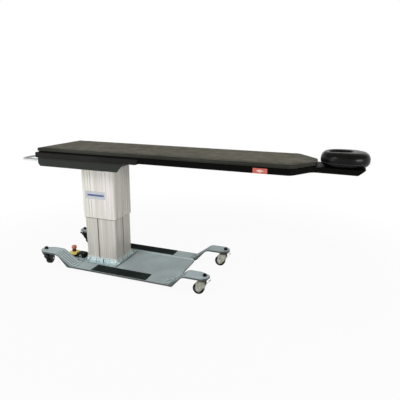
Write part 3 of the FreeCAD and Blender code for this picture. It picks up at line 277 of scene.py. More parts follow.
def upholstery_vinyl():
    """Calendered vinyl with a fine leather grain: a broad soft sheen on a dark brown-grey."""
    finish = Finish("upholstery_vinyl", "262622", 0.52, IOR=1.5, Specular_IOR_Level=0.1,
                    Sheen_Weight=0.1, Sheen_Roughness=0.35, Sheen_Tint=linear("e6d69c"))
    finish.tint(finish.mottle(0.35, 3.0), "2e2f2a", "1f1f1b")
    finish.vary_roughness(finish.mottle(0.05, 3.0), 0.46, 0.58)
    grain = add_node(finish.tree, "ShaderNodeTexVoronoi", {
        "Vector": finish.place, "Scale": 1.0 / (2.2 * MM), "Randomness": 1.0}, feature="SMOOTH_F1")
    creases = finish.relief(finish.mottle(0.03, 4.0), 0.5 * MM, 0.35)
    finish.relief(grain.outputs["Distance"], 0.12 * MM, 0.5, creases)
    return finish.material


def cushion_vinyl():
    """The same black vinyl stretched smooth over a ring: glossier, its grain pulled nearly flat."""
    finish = Finish("cushion_vinyl", "090a09", 0.3, IOR=1.5, Specular_IOR_Level=0.12)
    finish.tint(finish.mottle(0.12, 3.0), "0c0b0a", "060707")
    finish.vary_roughness(finish.mottle(0.03, 3.0), 0.27, 0.33)
    waves = finish.relief(finish.mottle(0.04), 0.6 * MM, 0.4)
    finish.relief(finish.mottle(1.6 * MM, 3.0), 0.05 * MM, 0.4, waves)
    return finish.material


def twill_carbon():
    """Clear-coated 2x2 twill carbon fibre, its 2 mm tows drawn at 4 mm so that they show."""
    finish = Finish("twill_carbon", "070707", 0.45, IOR=1.5, Specular_IOR_Level=0.03)
    tow = 4.0 * MM
    axes = add_node(finish.tree, "ShaderNodeSeparateXYZ", {"Vector": finish.place})
    depth = add_node(finish.tree, "ShaderNodeMath", (axes.outputs["Y"], axes.outputs["Z"]), operation="ADD")
    steps = []
    for along in (axes.outputs["X"], depth.outputs["Value"]):
        scaled = add_node(finish.tree, "ShaderNodeMath", (along, tow), operation="DIVIDE")
        step = add_node(finish.tree, "ShaderNodeMath", (scaled.outputs["Value"],), operation="FLOOR")
        steps.append(step.outputs["Value"])
    diagonal = add_node(finish.tree, "ShaderNodeMath", (steps[0], steps[1]), operation="ADD")
    cycle = add_node(finish.tree, "ShaderNodeMath", (
        diagonal.outputs["Value"], 4.0), operation="FLOORED_MODULO")
    warp = add_node(finish.tree, "ShaderNodeMath", (cycle.outputs["Value"], 1.5), operation="LESS_THAN")
    finish.tint(warp.outputs["Value"], "0b0a09", "030303")
    finish.vary_roughness(warp.outputs["Value"], 0.4, 0.5)
    return finish.material


def anodised_extrusion(name, light_hex, dark_hex):
    """Clear anodised aluminium profile: warm light grey, with upright die lines and broad pinkish and
    yellowish bands painted as reflections.
    """
    finish = Finish(name, light_hex, 0.42, Metallic=0.25)
    lines = finish.mottle(1.2 * MM, 3.0, (1.0, 1.0, 0.004), (0.3, 0.7))
    bands = finish.mottle(14.0 * MM, 2.0, (1.0, 1.0, 0.02), (0.35, 0.65))
    streaks = add_node(finish.tree, "ShaderNodeMath", (lines, bands), operation="MULTIPLY")
    drawn = finish.tint(streaks.outputs["Value"], light_hex, dark_hex)
    # Broad upright bands of pinkish and yellowish white are painted reflections.
    reflection_tint = finish.tint(finish.mottle(45.0 * MM, 1.0, (1.0, 1.0, 0.01), (0.4, 0.6)), "f9f5f5", "f6f5ee")
    finish.tint(1.0, reflection_tint, drawn, blend_type="MULTIPLY")
    finish.vary_roughness(finish.mottle(0.18, 2.0), 0.38, 0.48)
    finish.relief(lines, 0.03 * MM, 0.6)
    return finish.material


def zinc_plating():
    """Bright zinc plate: cool bluish white with soft uneven clouds."""
    finish = Finish("zinc_plating", "c9d4d5", 0.34, Metallic=0.5)
    clouds = finish.mottle(0.025, 3.0)
    finish.tint(clouds, "e2ebeb", "c3d0d1")
    finish.vary_roughness(clouds, 0.24, 0.38)
    finish.relief(finish.mottle(2.5 * MM), 0.04 * MM, 0.4)
    return finish.material


def passivated_zinc():
    """Passivated zinc plate, a dull bluish grey, with painted shade on its upright cut edges."""
    finish = Finish("passivated_zinc", "9aabae", 0.4, Metallic=0.5)
    # Faces that stand upright, the plate's cut edges, are painted dark teal as their shade.
    side_shade_mask = add_node(finish.tree, "ShaderNodeMath", (finish.upward(), 0.5), operation="LESS_THAN")
    plated = finish.tint(finish.mottle(0.03, 3.0), "a6b7ba", "8fa0a3")
    finish.tint(side_shade_mask.outputs["Value"], "2c3a3b", plated)
    finish.vary_roughness(finish.mottle(0.012, 3.0), 0.34, 0.48)
    return finish.material


FORK_SHADE_FROM = 90.0 * MM          # height above which the fork is painted near black as the shade under the arm
FORK_SHADE_BLEND = 12.0 * MM


def pressed_fork_zinc():
    """Yellow-passivated zinc on pressed steel: a creamy grey, painted near black at its top as the shade
    under the arm.
    """
    finish = Finish("pressed_fork_zinc", "a3a294", 0.38, Metallic=0.3)
    height = add_node(finish.tree, "ShaderNodeSeparateXYZ", {"Vector": finish.place})
    # The top of the fork, under the arm, is painted near black as shade.
    arm_shade = add_node(finish.tree, "ShaderNodeMapRange", {
        "Value": height.outputs["Z"], "From Min": FORK_SHADE_FROM,
        "From Max": FORK_SHADE_FROM + FORK_SHADE_BLEND})
    pressed = finish.tint(finish.mottle(0.012, 3.0), "b2b1a4", "7f7e72")
    finish.tint(arm_shade.outputs["Result"], "2a2821", pressed)
    finish.vary_roughness(finish.mottle(0.006, 2.0), 0.3, 0.46)
    finish.relief(finish.mottle(2.0 * MM), 0.03 * MM, 0.4)
    return finish.material


def slot_shade_finish():
    """Mid grey finish of the strips in the key slots, which paints the shade in the slots."""
    finish = Finish("slot_shade_finish", "5d5c57", 0.6, IOR=1.53, Specular_IOR_Level=0.2)
    finish.tint(finish.mottle(0.02, 2.0, (1.0, 1.0, 0.1)), "66655f", "52514d")
    return finish.material


RIDGE_MIDDLE = -0.377               # the middle of the base along X
RIDGE_ZONE = (440.0 * MM, 85.0 * MM)    # middle and half length of the ridges, from there
RIDGE_EDGE = 263.0 * MM             # the arms' outer edge there, and how fast it flares
RIDGE_FLARE = 0.075
RIDGE_PITCH = 22.0 * MM
RIDGE_BAND = (55.0 * MM, 44.0 * MM)     # middle and half width of the row, in from the edge
RIDGE_HIGHLIGHT_HALF = 4.5 * MM              # half width of the painted highlight on the crown of one ridge
RIDGE_SHADE_BAND = (6.5 * MM, 2.0 * MM)       # middle and half width of the painted shade beside it
RIDGE_STEPS = (                     # each a result, an operation and its terms
    ("from_middle", "SUBTRACT", "x", RIDGE_MIDDLE),
    ("along", "ABSOLUTE", "from_middle"),
    ("edge", "MULTIPLY_ADD", "along", RIDGE_FLARE, RIDGE_EDGE),
    ("sideways", "ABSOLUTE", "y"),
    ("inset", "SUBTRACT", "edge", "sideways"),
    ("shifted", "ADD", "inset", RIDGE_PITCH / 2),
    ("turn", "FLOORED_MODULO", "shifted", RIDGE_PITCH),
    ("from_crown", "SUBTRACT", "turn", RIDGE_PITCH / 2),
    ("aside", "ABSOLUTE", "from_crown"),
    ("in_length", "COMPARE", "along", *RIDGE_ZONE),
    ("in_band", "COMPARE", "inset", *RIDGE_BAND),
    ("zone", "MULTIPLY", "in_length", "in_band"),
    ("on_crown", "LESS_THAN", "aside", RIDGE_HIGHLIGHT_HALF),
    ("crown", "MULTIPLY", "on_crown", "zone"),
    ("beside_crown", "COMPARE", "aside", *RIDGE_SHADE_BAND),
    ("foot", "MULTIPLY", "beside_crown", "zone"),
)


def ridge_highlight_and_shade(finish):
    """Where the pressed ridges of the arms get a painted highlight on their crowns and painted shade beside
    them.
    """
    axes = add_node(finish.tree, "ShaderNodeSeparateXYZ", {"Vector": finish.place}).outputs
    made = {"x": axes["X"], "y": axes["Y"]}
    for result, operation, *terms in RIDGE_STEPS:
        terms = [made.get(term, term) for term in terms]
        made[result] = add_node(finish.tree, "ShaderNodeMath", terms, operation=operation).outputs["Value"]
    return made["crown"], made["foot"]


UPRIGHT_SHADE_SPAN = (0.55, 0.25)           # how level a face may be where its painted shade begins and is full


def silver_powder_coat():
    """Silver-grey powder coat: slight orange peel, soft cool clouds, painted shade on its upright faces, and
    painted highlights and shade along the pressed ridges.
    """
    finish = Finish("silver_powder_coat", "919d9f", 0.45, Metallic=0.05, IOR=1.5, Specular_IOR_Level=0.2)
    # Upright faces, the lips of the pan, are painted dark grey as shade.
    flatness = add_node(finish.tree, "ShaderNodeMath", (finish.upward(),), operation="ABSOLUTE")
    upright_shade = add_node(finish.tree, "ShaderNodeMapRange", {
        "Value": flatness.outputs["Value"], "From Min": UPRIGHT_SHADE_SPAN[0], "From Max": UPRIGHT_SHADE_SPAN[1]})
    # Each ridge gets a painted highlight on its crown and painted shade beside it.
    crown, foot = ridge_highlight_and_shade(finish)
    coat = finish.tint(finish.mottle(0.22, 3.0), "9ba8ab", "8c9799")
    ridge_shaded = finish.tint(foot, "7a8588", coat)
    ridge_lit = finish.tint(crown, "bac8cc", ridge_shaded)
    finish.tint(upright_shade.outputs["Result"], "4f5554", ridge_lit)
    peel = finish.relief(finish.mottle(4.0 * MM, 2.0), 0.06 * MM, 0.5)
    finish.relief(finish.mottle(0.8 * MM, 2.0), 0.02 * MM, 0.5, peel)
    return finish.material


def brushed_badge():
    """Satin aluminium sheet, brushed along its length."""
    finish = Finish("badge_silver", "b4b8bb", 0.4, Metallic=0.4)
    brushed = finish.mottle(0.6 * MM, 2.0, (0.02, 1.0, 1.0))
    finish.tint(brushed, "bcc0c4", "a9adb1")
    finish.relief(brushed, 0.02 * MM, 0.5)
    return finish.material


SLOT_FINISHES = {
    "pad_vinyl": upholstery_vinyl(),
    "carbon_laminate": twill_carbon(),
    "column_aluminium": anodised_extrusion("anodised_extrusion", "f9f8f7", "d2d0cc"),
    "plated_steel": zinc_plating(),
    "base_coat": silver_powder_coat(),
    # Black hook-and-loop tape: matt and woolly, it takes light like cloth.
    "strip_tape": plain_finish(
        "hook_tape", "1b1b1d", 0.95, grain=(1.2 * MM, 4.0, 0.4 * MM, 0.9), Sheen_Weight=0.4),
    # Black anodised-looking coat: a low satin gleam with faint brownish clouds.
    "rail_coat": plain_finish(
        "satin_black_coat", "171615", 0.42, (0.2, 2.0, "1b1a18", "131211"),
        grain=(1.2 * MM, 2.0, 0.03 * MM, 0.5), IOR=1.5, Specular_IOR_Level=0.08),
    # Dark grey powder coat: a fine pebbled texture breaks its highlights.
    "cover_coat": plain_finish(
        "textured_powder_coat", "262a27", 0.5, (0.25, 2.0, "2a2e2b", "222623"),
        grain=(1.6 * MM, 3.0, 0.08 * MM, 0.7), IOR=1.5, Specular_IOR_Level=0.12),
    # Coated steel tube: blackish grey and slightly uneven, with a dull gleam along its corners.
    "frame_steel": plain_finish(
        "coated_tube", "2f3133", 0.5, (0.1, 2.0, "343638", "2a2c2e"),
        grain=(1.5 * MM, 2.0, 0.05 * MM, 0.5), IOR=1.5),
    # Zinc fastener: small bright metal whose gleam changes from head to head.
    "bolt_steel": plain_finish("zinc_fastener", "b7bcbd", 0.32, haze=(0.006, 0.26, 0.4), Metallic=1.0),
    # Chrome plate: a near mirror with the faintest haze.
    "handle_chrome": plain_finish("polished_chrome", "dfe2e4", 0.06, haze=(0.04, 0.04, 0.1), Metallic=1.0),
    # Ribbed rubber: black with a greenish cast and dusty flats.
    "tread_rubber": plain_finish(
        "ribbed_rubber", "111a18", 0.62, (0.08, 4.0, "17221f", "0e1614"),
        grain=(1.0 * MM, 3.0, 0.06 * MM, 0.6), IOR=1.52, Specular_IOR_Level=0.15),
    # Wheel tread: near-black rubber, rubbed a little lighter in patches.
    "tyre_rubber": plain_finish(
        "wheel_tread", "0d0e0c", 0.55, (0.02, 3.0, "121310", "0a0b09"),
        grain=(0.8 * MM, 2.0, 0.04 * MM, 0.5), IOR=1.52, Specular_IOR_Level=0.12),
    # Moulded nylon of the wheel centres: light warm grey with a soft plastic gleam.
    "wheel_plastic": plain_finish(
        "wheel_nylon", "b9b9b2", 0.45, (0.03, 2.0, "c2c2bb", "adada6"),
        grain=(1.0 * MM, 2.0, 0.03 * MM, 0.4), IOR=1.53),
    # Black ABS: a fine spark-eroded texture that stays dark all round.
    "black_plastic": plain_finish(
        "moulded_black", "0b0c0c", 0.42, (0.03, 2.0, "0f1010", "080909"),
        grain=(0.9 * MM, 3.0, 0.05 * MM, 0.6), IOR=1.53, Specular_IOR_Level=0.12),
    # Dark housing: the same moulding in a cooler, duller black.
    "housing_plastic": plain_finish(
        "dark_housing", "0f1112", 0.5, (0.05, 2.0, "131516", "0c0e0e"),
        grain=(1.0 * MM, 3.0, 0.05 * MM, 0.6), IOR=1.53, Specular_IOR_Level=0.1),
    # Acetal glides: waxy ivory white.
    "glide_plastic": plain_finish("glide_acetal", "e4e2da", 0.35, (0.02, 2.0, "e9e7df", "dcdad1"), IOR=1.48),
    # Polycarbonate enclosure: clean glossy yellow, moulded with a slight waviness.
    "yellow_plastic": plain_finish(
        "enclosure_yellow", "d6c463", 0.3, (0.02, 2.0, "dccb6c", "cdba57"),
        grain=(3.0 * MM, 2.0, 0.03 * MM, 0.3), IOR=1.585),
    # Button: glossy moulded plastic in a faded orange red.
    "red_plastic": plain_finish("button_red", "b5604a", 0.32, (0.015, 2.0, "bd6a52", "a65642"), IOR=1.53),
    # Seat of the button: a deep red ring that reads as its shadow.
    "seat_plastic": plain_finish(
        "collar_red", "5e1713", 0.4, (0.01, 2.0, "681b16", "521210"), IOR=1.53, Specular_IOR_Level=0.2),
    # Lead jacket: soft black rubber with a dull gleam along its top.
    "lead_rubber": plain_finish(
        "lead_jacket", "16171a", 0.5, grain=(1.5 * MM, 2.0, 0.03 * MM, 0.5), IOR=1.52),
}

# Sewing thread: dark, matt and slightly fuzzy against the vinyl.
STITCH_THREAD = plain_finish(
    "stitch_thread", "26262a", 0.7, grain=(0.5 * MM, 2.0, 0.1 * MM, 0.6), Sheen_Weight=0.3)
# Printed stripe: flat matt blue ink on the badge.
BADGE_BLUE = plain_finish(
    "badge_blue", "4f6090", 0.4, (0.01, 2.0, "556695", "48587f"), IOR=1.5, Specular_IOR_Level=0.3)
# Printed vinyl label: faded red with a light gloss, and a pinkish white for its mark.
LABEL_RED = plain_finish(
    "label_red", "b65c51", 0.4, (0.02, 2.0, "bd6257", "ac544a"), IOR=1.5, Specular_IOR_Level=0.2)
LABEL_WHITE = plain_finish(
    "label_white", "cdb1ab", 0.4, (0.02, 2.0, "d2b7b1", "c3a7a1"), IOR=1.5, Specular_IOR_Level=0.2)


def dress_nodes():
    """Gives each construction node the finish of its material slot, or its own where it differs."""
    black = SLOT_FINISHES["black_plastic"]
    own_finishes = {
        # The swivel races are black as painted shade under the arms.
        "foot_plate": passivated_zinc(), "caster_races": black,
        # The fixed stage takes a darker copy of the anodised finish as painted shade, for it stands recessed
        # below the moving stage.
        "column_inner_stage": anodised_extrusion("anodised_extrusion_shaded", "e2e0dd", "bab8b3")}
    fork_finish = pressed_fork_zinc()
    for side in ("near", "far"):
        own_finishes["caster_fork_head_" + side] = fork_finish
        own_finishes["caster_fork_foot_" + side] = black
        own_finishes["caster_hub_foot_" + side] = SLOT_FINISHES["housing_plastic"]
    for entry in frame["record"]["subparts"]:
        node = entry["node"]
        finish = own_finishes.get(node, SLOT_FINISHES[entry["material_slot"]])
        mesh = nodes[node].data
        mesh.materials.clear()
        mesh.materials.append(finish)


# ---------------------------------------------------------------- the stop button's lead

LEAD_DIAMETER = 6.4 * MM
LEAD_ROUTE = (                      # from the stop button's gland round to the junction box's
    (-0.894, -0.054, 0.047), (-0.894, -0.036, 0.047), (-0.890, -0.016, 0.0455), (-0.874, -0.007, 0.0445),
    (-0.850, -0.007, 0.0445), (-0.834, -0.016, 0.0455), (-0.830, -0.036, 0.047), (-0.830, -0.054, 0.047))


def stop_lead():
    """The short lead between the two housings, held in a gland at each end and sagging a little."""
    line = bpy.data.curves.new("stop_lead", "CURVE")
    line.dimensions = "3D"
    line.bevel_depth = LEAD_DIAMETER / 2
    line.bevel_resolution = 6
    line.resolution_u = 12
    line.use_fill_caps = True
    spline = line.splines.new("NURBS")
    spline.points.add(len(LEAD_ROUTE) - 1)
    for point, place in zip(spline.points, LEAD_ROUTE):
        point.co = (*place, 1.0)
    spline.order_u = 3
    spline.use_endpoint_u = True
    lead = add_object("stop_lead", line)
    line.materials.append(SLOT_FINISHES["lead_rubber"])
    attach(lead, "base")
    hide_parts("estop_lead")


# ---------------------------------------------------------------- soft pieces

CLOTH_FRAMES = 20
CLOTH_PRESSURE = 4.0
CLOTH_QUALITY = 4


def swell(piece, pinned, most):
    """Inflates a closed mesh as cloth under pressure, and holds each point's move to a limit."""
    start = [vertex.co.copy() for vertex in piece.data.vertices]
    group = piece.vertex_groups.new(name="held")
    group.add([v.index for v in piece.data.vertices if pinned(v.co)], 1.0, "REPLACE")
    cloth = piece.modifiers.new("cloth", "CLOTH")
    cloth.settings.effector_weights.gravity = 0.0
    cloth.settings.use_pressure = True
    cloth.settings.uniform_pressure_force = CLOTH_PRESSURE
    cloth.settings.vertex_group_mass = group.name
    cloth.settings.quality = CLOTH_QUALITY
    cloth.collision_settings.use_collision = False
    cloth.point_cache.frame_end = CLOTH_FRAMES
    for step in range(1, CLOTH_FRAMES + 1):
        bpy.context.scene.frame_set(step)
    shaped = piece.evaluated_get(bpy.context.evaluated_depsgraph_get())
    moved = [vertex.co.copy() for vertex in shaped.data.vertices]
    piece.modifiers.remove(cloth)
    piece.vertex_groups.clear()
    for vertex, before, after in zip(piece.data.vertices, start, moved):
        move = after - before
        vertex.co = before + move * (most / (most + move.length))
    bpy.context.scene.frame_set(1)


PAD_CORNER = 10.0 * MM              # plan radii at the foot end, the shoulders and the neck
PAD_SHOULDER = 45.0 * MM
PAD_NECK = 20.0 * MM
PAD_CORNER_STEPS = 4                # arc steps at the corners and the neck, and at the shoulder
PAD_SHOULDER_STEPS = 6
PAD_TAPER = 130.0 * MM              # length of the taper, and half the width where it ends
PAD_NECK_HALF = 68.0 * MM
PAD_EDGE = 8.0 * MM                 # radius of the rounded edges, top and bottom
PAD_EDGE_LEAST = 0.4 * MM
PAD_EDGE_STEPS = 4
PAD_SPACING = 13.0 * MM             # of the mesh along and across
PAD_CROWN = 2.5 * MM                # how far the foam swells
PAD_INSET = -1.5 * MM               # of the flat pattern from the solid, before it swells
PAD_UNEVEN = 0.5 * MM               # height of the ripples in the foam and the puckers at the seam
PAD_RIPPLE = (3.2, 5.0)             # how close they lie along and across the pad
PAD_PUCKER = (14.0, 3.0)
PAD_PUCKER_FROM = 0.75              # share of the half width where the puckers begin


def pad_side(low, high):
    """Plan points along the far side of the mattress pad, from its foot end to its neck."""
    foot = Vector((low.x, high.y))
    shoulder = Vector((high.x - PAD_TAPER, high.y))
    neck = Vector((high.x, PAD_NECK_HALF))
    points = arc_corner(Vector((low.x, 0.0)), foot, shoulder, PAD_CORNER, PAD_CORNER_STEPS)
    points += arc_corner(foot, shoulder, neck, PAD_SHOULDER, PAD_SHOULDER_STEPS)
    return points + arc_corner(shoulder, neck, Vector((high.x, 0.0)), PAD_NECK, PAD_CORNER_STEPS)


def pad_half_width(x, side):
    """Half width of the mattress pad at a place along it."""
    for start, end in zip(side, side[1:]):
        if x <= end.x:
            break
    share = (x - start.x) / max(end.x - start.x, MM / 1000)
    return start.y + (end.y - start.y) * min(max(share, 0.0), 1.0)


def pad_loop(half, tall, edge, across, corner_steps):
    """Side and height pairs round one section of the pad: flat faces joined by rounded edges."""
    flat = half - edge
    top = [(flat * (2 * i / across - 1), tall) for i in range(across + 1)]
    turn = []
    for i in range(1, corner_steps + 1):
        swing = math.pi / 2 * i / corner_steps
        turn.append((flat + edge * math.sin(swing), tall - edge + edge * math.cos(swing)))
    right = turn + [(half, 0.0)]
    lower = [(y, -z) for y, z in reversed(turn)]
    bottom = [(y, -z) for y, z in reversed(top)]
    left = [(-y, z) for y, z in reversed(right + lower)]
    return top + right + lower + bottom + left


def mattress_pad():
    """The long pad: a closed loft of rounded sections, crowned by its foam and sewn at its edge."""
    low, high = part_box("mattress_pad")
    inner_low = low + Vector((PAD_INSET, PAD_INSET, 0.0))
    inner_high = high - Vector((PAD_INSET, PAD_INSET, PAD_CROWN / 2))
    side = pad_side(inner_low, inner_high)
    thickness = inner_high.z - inner_low.z
    middle_z = (inner_high.z + inner_low.z) / 2
    across = round((inner_high.y - inner_low.y) / PAD_SPACING)
    length = inner_high.x - inner_low.x
    count = round((length - 2 * PAD_EDGE) / PAD_SPACING)
    ends = []
    for i in range(PAD_EDGE_STEPS + 1):
        swing = math.pi / 2 * i / PAD_EDGE_STEPS
        ends.append((PAD_EDGE * (1 - math.cos(swing)), PAD_EDGE * (1 - math.sin(swing))))
    stations = ends + [(PAD_EDGE + (length - 2 * PAD_EDGE) * i / count, 0.0) for i in range(1, count)]
    stations += [(length - along, pinch) for along, pinch in reversed(ends)]
    shape = bmesh.new()
    rings = []
    for along, pinch in stations:
        x = inner_low.x + along
        half = pad_half_width(x, side) - pinch
        edge = max(PAD_EDGE - pinch, PAD_EDGE_LEAST)
        loop = pad_loop(half, thickness / 2 - pinch, edge, across, PAD_EDGE_STEPS)
        rings.append([shape.verts.new((x, y, middle_z + z)) for y, z in loop])
    loft(shape, rings)
    for ring in (rings[0], rings[-1]):
        bmesh.ops.contextual_create(shape, geom=ring)
    bmesh.ops.triangulate(shape, faces=[f for f in shape.faces if len(f.verts) > 4])
    mesh = mesh_of(shape, "mattress_pad_cover")
    piece = add_piece("mattress_pad_cover", mesh, "table_top", "pad_vinyl")
    swell(piece, lambda point: point.z < inner_low.z + PAD_EDGE / 2, PAD_CROWN)
    for vertex in piece.data.vertices:
        point = vertex.co
        edge_share = abs(point.y) / pad_half_width(point.x, side)
        near_seam = max(edge_share - PAD_PUCKER_FROM, 0.0) / (1.0 - PAD_PUCKER_FROM)
        pucker = noise.noise(Vector((point.x * PAD_PUCKER[0], point.y * PAD_PUCKER[1], 0.0)))
        ripple = noise.noise(Vector((point.x * PAD_RIPPLE[0], point.y * PAD_RIPPLE[1], 7.0)))
        if point.z > middle_z:
            point.z += PAD_UNEVEN * (ripple - pucker * near_seam)
    reshape(piece, "SUBSURF", levels=1)
    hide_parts("mattress_pad")
    return piece


CUSHION_VOXEL = 5.0 * MM
CUSHION_SWELL = 10.0 * MM
CUSHION_START_INSET = 0.5 * MM      # of the pattern from the solid, before it swells
CUSHION_BASE_INSET = 0.8 * MM
CUSHION_PLAN_RADIUS = 112.0 * MM
CUSHION_EDGE = 40.0 * MM            # radii of its rounded side and of the lip of its hole
CUSHION_HOLE_EDGE = 16.0 * MM
CUSHION_HOLE_FLAT = 0.1 * MM        # half the straight part at each end of the hole
CUSHION_HOLE_OFFSET = 29.0 * MM     # from the cushion's middle towards the neck
CUSHION_HOLE_HALF = (63.0 * MM, 42.0 * MM)
CUSHION_PLAN_STEPS = 12             # in each corner of a ring
CUSHION_EDGE_STEPS = 8              # in each quarter turn of its section


def cushion_rings(low, high):
    """Closed plan rings of the face cushion: up its rounded side and down through its hole."""
    centre = (low + high) / 2
    half = (high - low) / 2
    hole_centre = centre - Vector((CUSHION_HOLE_OFFSET, 0.0, 0.0))
    inset = CUSHION_START_INSET
    bottom = low.z + CUSHION_BASE_INSET
    top = high.z - inset
    rings = []

    def outer_ring(pull, z):
        plan = rounded_plan(centre, half.x - inset - pull, half.y - inset - pull,
                            CUSHION_PLAN_RADIUS - inset - pull, CUSHION_PLAN_STEPS)
        rings.append([Vector((p.x, p.y, z)) for p in plan])

    def hole_ring(pull, z):
        half_x, half_y = (side + pull + inset for side in CUSHION_HOLE_HALF)
        plan = rounded_plan(hole_centre, half_x, half_y, half_y - CUSHION_HOLE_FLAT, CUSHION_PLAN_STEPS)
        rings.append([Vector((p.x, p.y, z)) for p in plan])

    turns = [math.pi / 2 * i / CUSHION_EDGE_STEPS for i in range(CUSHION_EDGE_STEPS + 1)]
    for swing in turns:
        outer_ring(CUSHION_EDGE * (1 - math.sin(swing)), bottom + CUSHION_EDGE * (1 - math.cos(swing)))
    for swing in reversed(turns):
        outer_ring(CUSHION_EDGE * (1 - math.sin(swing)), top - CUSHION_EDGE * (1 - math.cos(swing)))
    for swing in turns[1:]:
        hole_ring(CUSHION_HOLE_EDGE * (1 - math.sin(swing)), top - CUSHION_HOLE_EDGE * (1 - math.cos(swing)))
    hole_ring(0.0, bottom + CUSHION_HOLE_EDGE / 2)
    hole_ring(CUSHION_HOLE_EDGE / 2, bottom)
    return rings


def face_cushion():
    """The padded ring: a smooth closed skin pulled in at its hole and resting flat on the plate."""
    low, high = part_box("face_cushion")
    shape = bmesh.new()
    rings = [[shape.verts.new(point) for point in ring] for ring in cushion_rings(low, high)]
    loft(shape, rings, closed=True)
    mesh = mesh_of(shape, "face_cushion_cover")
    piece = add_piece("face_cushion_cover", mesh, "head_cushion", "pad_vinyl", cushion_vinyl())
    reshape(piece, "REMESH", mode="VOXEL", voxel_size=CUSHION_VOXEL)
    swell(piece, lambda point: point.z < low.z + CUSHION_START_INSET, CUSHION_SWELL)
    for vertex in piece.data.vertices:
        vertex.co.z = max(vertex.co.z, low.z)
    reshape(piece, "SUBSURF", levels=1)
    piece.data.polygons.foreach_set("use_smooth", [True] * len(piece.data.polygons))
    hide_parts("face_cushion")
    return piece


def on_skin(piece, points, lift):
    """The nearest places on a piece's skin, each lifted off it by this much."""
    laid = []
    for point in points:
        _, place, normal, _ = piece.closest_point_on_mesh(point)
        laid.append(place + normal * lift)
    return laid


# ---------------------------------------------------------------- plates and labels

def thin_plate(name, corners, thickness, slot, material, bevel=0.0):
    """A plate on the top's body from its outline, extruded towards the near side (-Y)."""
    shape = bmesh.new()
    back = [shape.verts.new(corner) for corner in corners]
    face = shape.faces.new(back)
    raised = bmesh.ops.extrude_face_region(shape, geom=[face])
    moved = [item for item in raised["geom"] if isinstance(item, bmesh.types.BMVert)]
    bmesh.ops.translate(shape, vec=(0.0, -thickness, 0.0), verts=moved)
    if bevel:
        rim = [edge for edge in shape.edges if all(vertex in moved for vertex in edge.verts)]
        bmesh.ops.bevel(shape, geom=rim, offset=bevel, segments=2, affect="EDGES")
    add_piece(name, mesh_of(shape, name, False), "table_top", slot, material)


def upright_outline(x0, x1, z0, z1, y, radius, steps=5):
    """A rounded rectangle standing in the XZ plane."""
    centre = Vector(((x0 + x1) / 2, (z0 + z1) / 2))
    plan = rounded_plan(centre, (x1 - x0) / 2, (z1 - z0) / 2, radius, steps)
    return [Vector((p.x, y, p.y)) for p in plan]


PRINT_THICKNESS = 0.2 * MM          # of the stripe and the label's mark
BADGE_LENGTH = 175.0 * MM
BADGE_HEIGHT = 58.0 * MM
BADGE_THICKNESS = 1.2 * MM
BADGE_CORNER = 4.0 * MM
BADGE_BEVEL = 0.3 * MM
BADGE_TOP_DROP = 197.0 * MM         # below the top of the moving stage
BADGE_FOOT_INSET = 23.5 * MM        # from the foot-side edge of the moving stage
STRIPE_HEIGHT = 15.0 * MM
STRIPE_MARGIN = 22.0 * MM           # at its foot end, and half as much at its head end
STRIPE_CORNER = 2.0 * MM


def column_badge():
    """A plain silver plate with one plain blue stripe."""
    low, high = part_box("column_outer_stage")
    x0 = low.x + BADGE_FOOT_INSET
    top = high.z - BADGE_TOP_DROP
    plate = upright_outline(x0, x0 + BADGE_LENGTH, top - BADGE_HEIGHT, top, low.y, BADGE_CORNER)
    thin_plate("column_badge", plate, BADGE_THICKNESS, "plated_steel", brushed_badge(), BADGE_BEVEL)
    middle = top - BADGE_HEIGHT / 2
    stripe = upright_outline(x0 + STRIPE_MARGIN, x0 + BADGE_LENGTH - STRIPE_MARGIN / 2,
                             middle - STRIPE_HEIGHT / 2, middle + STRIPE_HEIGHT / 2,
                             low.y - BADGE_THICKNESS, STRIPE_CORNER)
    thin_plate("column_badge_stripe", stripe, PRINT_THICKNESS, "plated_steel", BADGE_BLUE)


LABEL_REACH = 1179.0 * MM           # from the column axis to the label's foot end
LABEL_LENGTH = 87.0 * MM
LABEL_HEIGHT = 32.0 * MM
LABEL_LOW_GAP = 1.0 * MM            # above the lower edge of the board
LABEL_THICKNESS = 0.4 * MM
LABEL_CORNER = 1.5 * MM
LABEL_MARK_SHARE = 0.3              # half the lozenge's size as a share of the label's


def side_label():
    """A plain red label with a plain white lozenge on the near side of the top."""
    low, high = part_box("carbon_top")
    bottom = low.z + LABEL_LOW_GAP
    foot_x = COLUMN_X + LABEL_REACH
    red = upright_outline(foot_x, foot_x + LABEL_LENGTH, bottom, bottom + LABEL_HEIGHT, low.y, LABEL_CORNER)
    thin_plate("side_label", red, LABEL_THICKNESS, "red_plastic", LABEL_RED)
    centre_x = foot_x + LABEL_LENGTH / 2
    centre_z = bottom + LABEL_HEIGHT / 2
    half_x, half_z = LABEL_LENGTH * LABEL_MARK_SHARE, LABEL_HEIGHT * LABEL_MARK_SHARE
    y = low.y - LABEL_THICKNESS
    lozenge = [Vector((centre_x + sx * half_x, y, centre_z + sz * half_z))
               for sx, sz in ((1, 0), (0, 1), (-1, 0), (0, -1))]
    thin_plate("side_label_mark", lozenge, PRINT_THICKNESS, "red_plastic", LABEL_WHITE)


# ---------------------------------------------------------------- repeated pieces

def start_tree(name, inputs):
    """A Geometry Nodes tree that takes a mesh, these named sizes and a material."""
    tree = bpy.data.node_groups.new(name, "GeometryNodeTree")
    tree.interface.new_socket("Geometry", in_out="INPUT", socket_type="NodeSocketGeometry")
    tree.interface.new_socket("Geometry", in_out="OUTPUT", socket_type="NodeSocketGeometry")
    for label, kind in (*inputs, ("Material", "Material")):
        tree.interface.new_socket(label, in_out="INPUT", socket_type="NodeSocket" + kind)
    return tree, add_node(tree, "NodeGroupInput").outputs


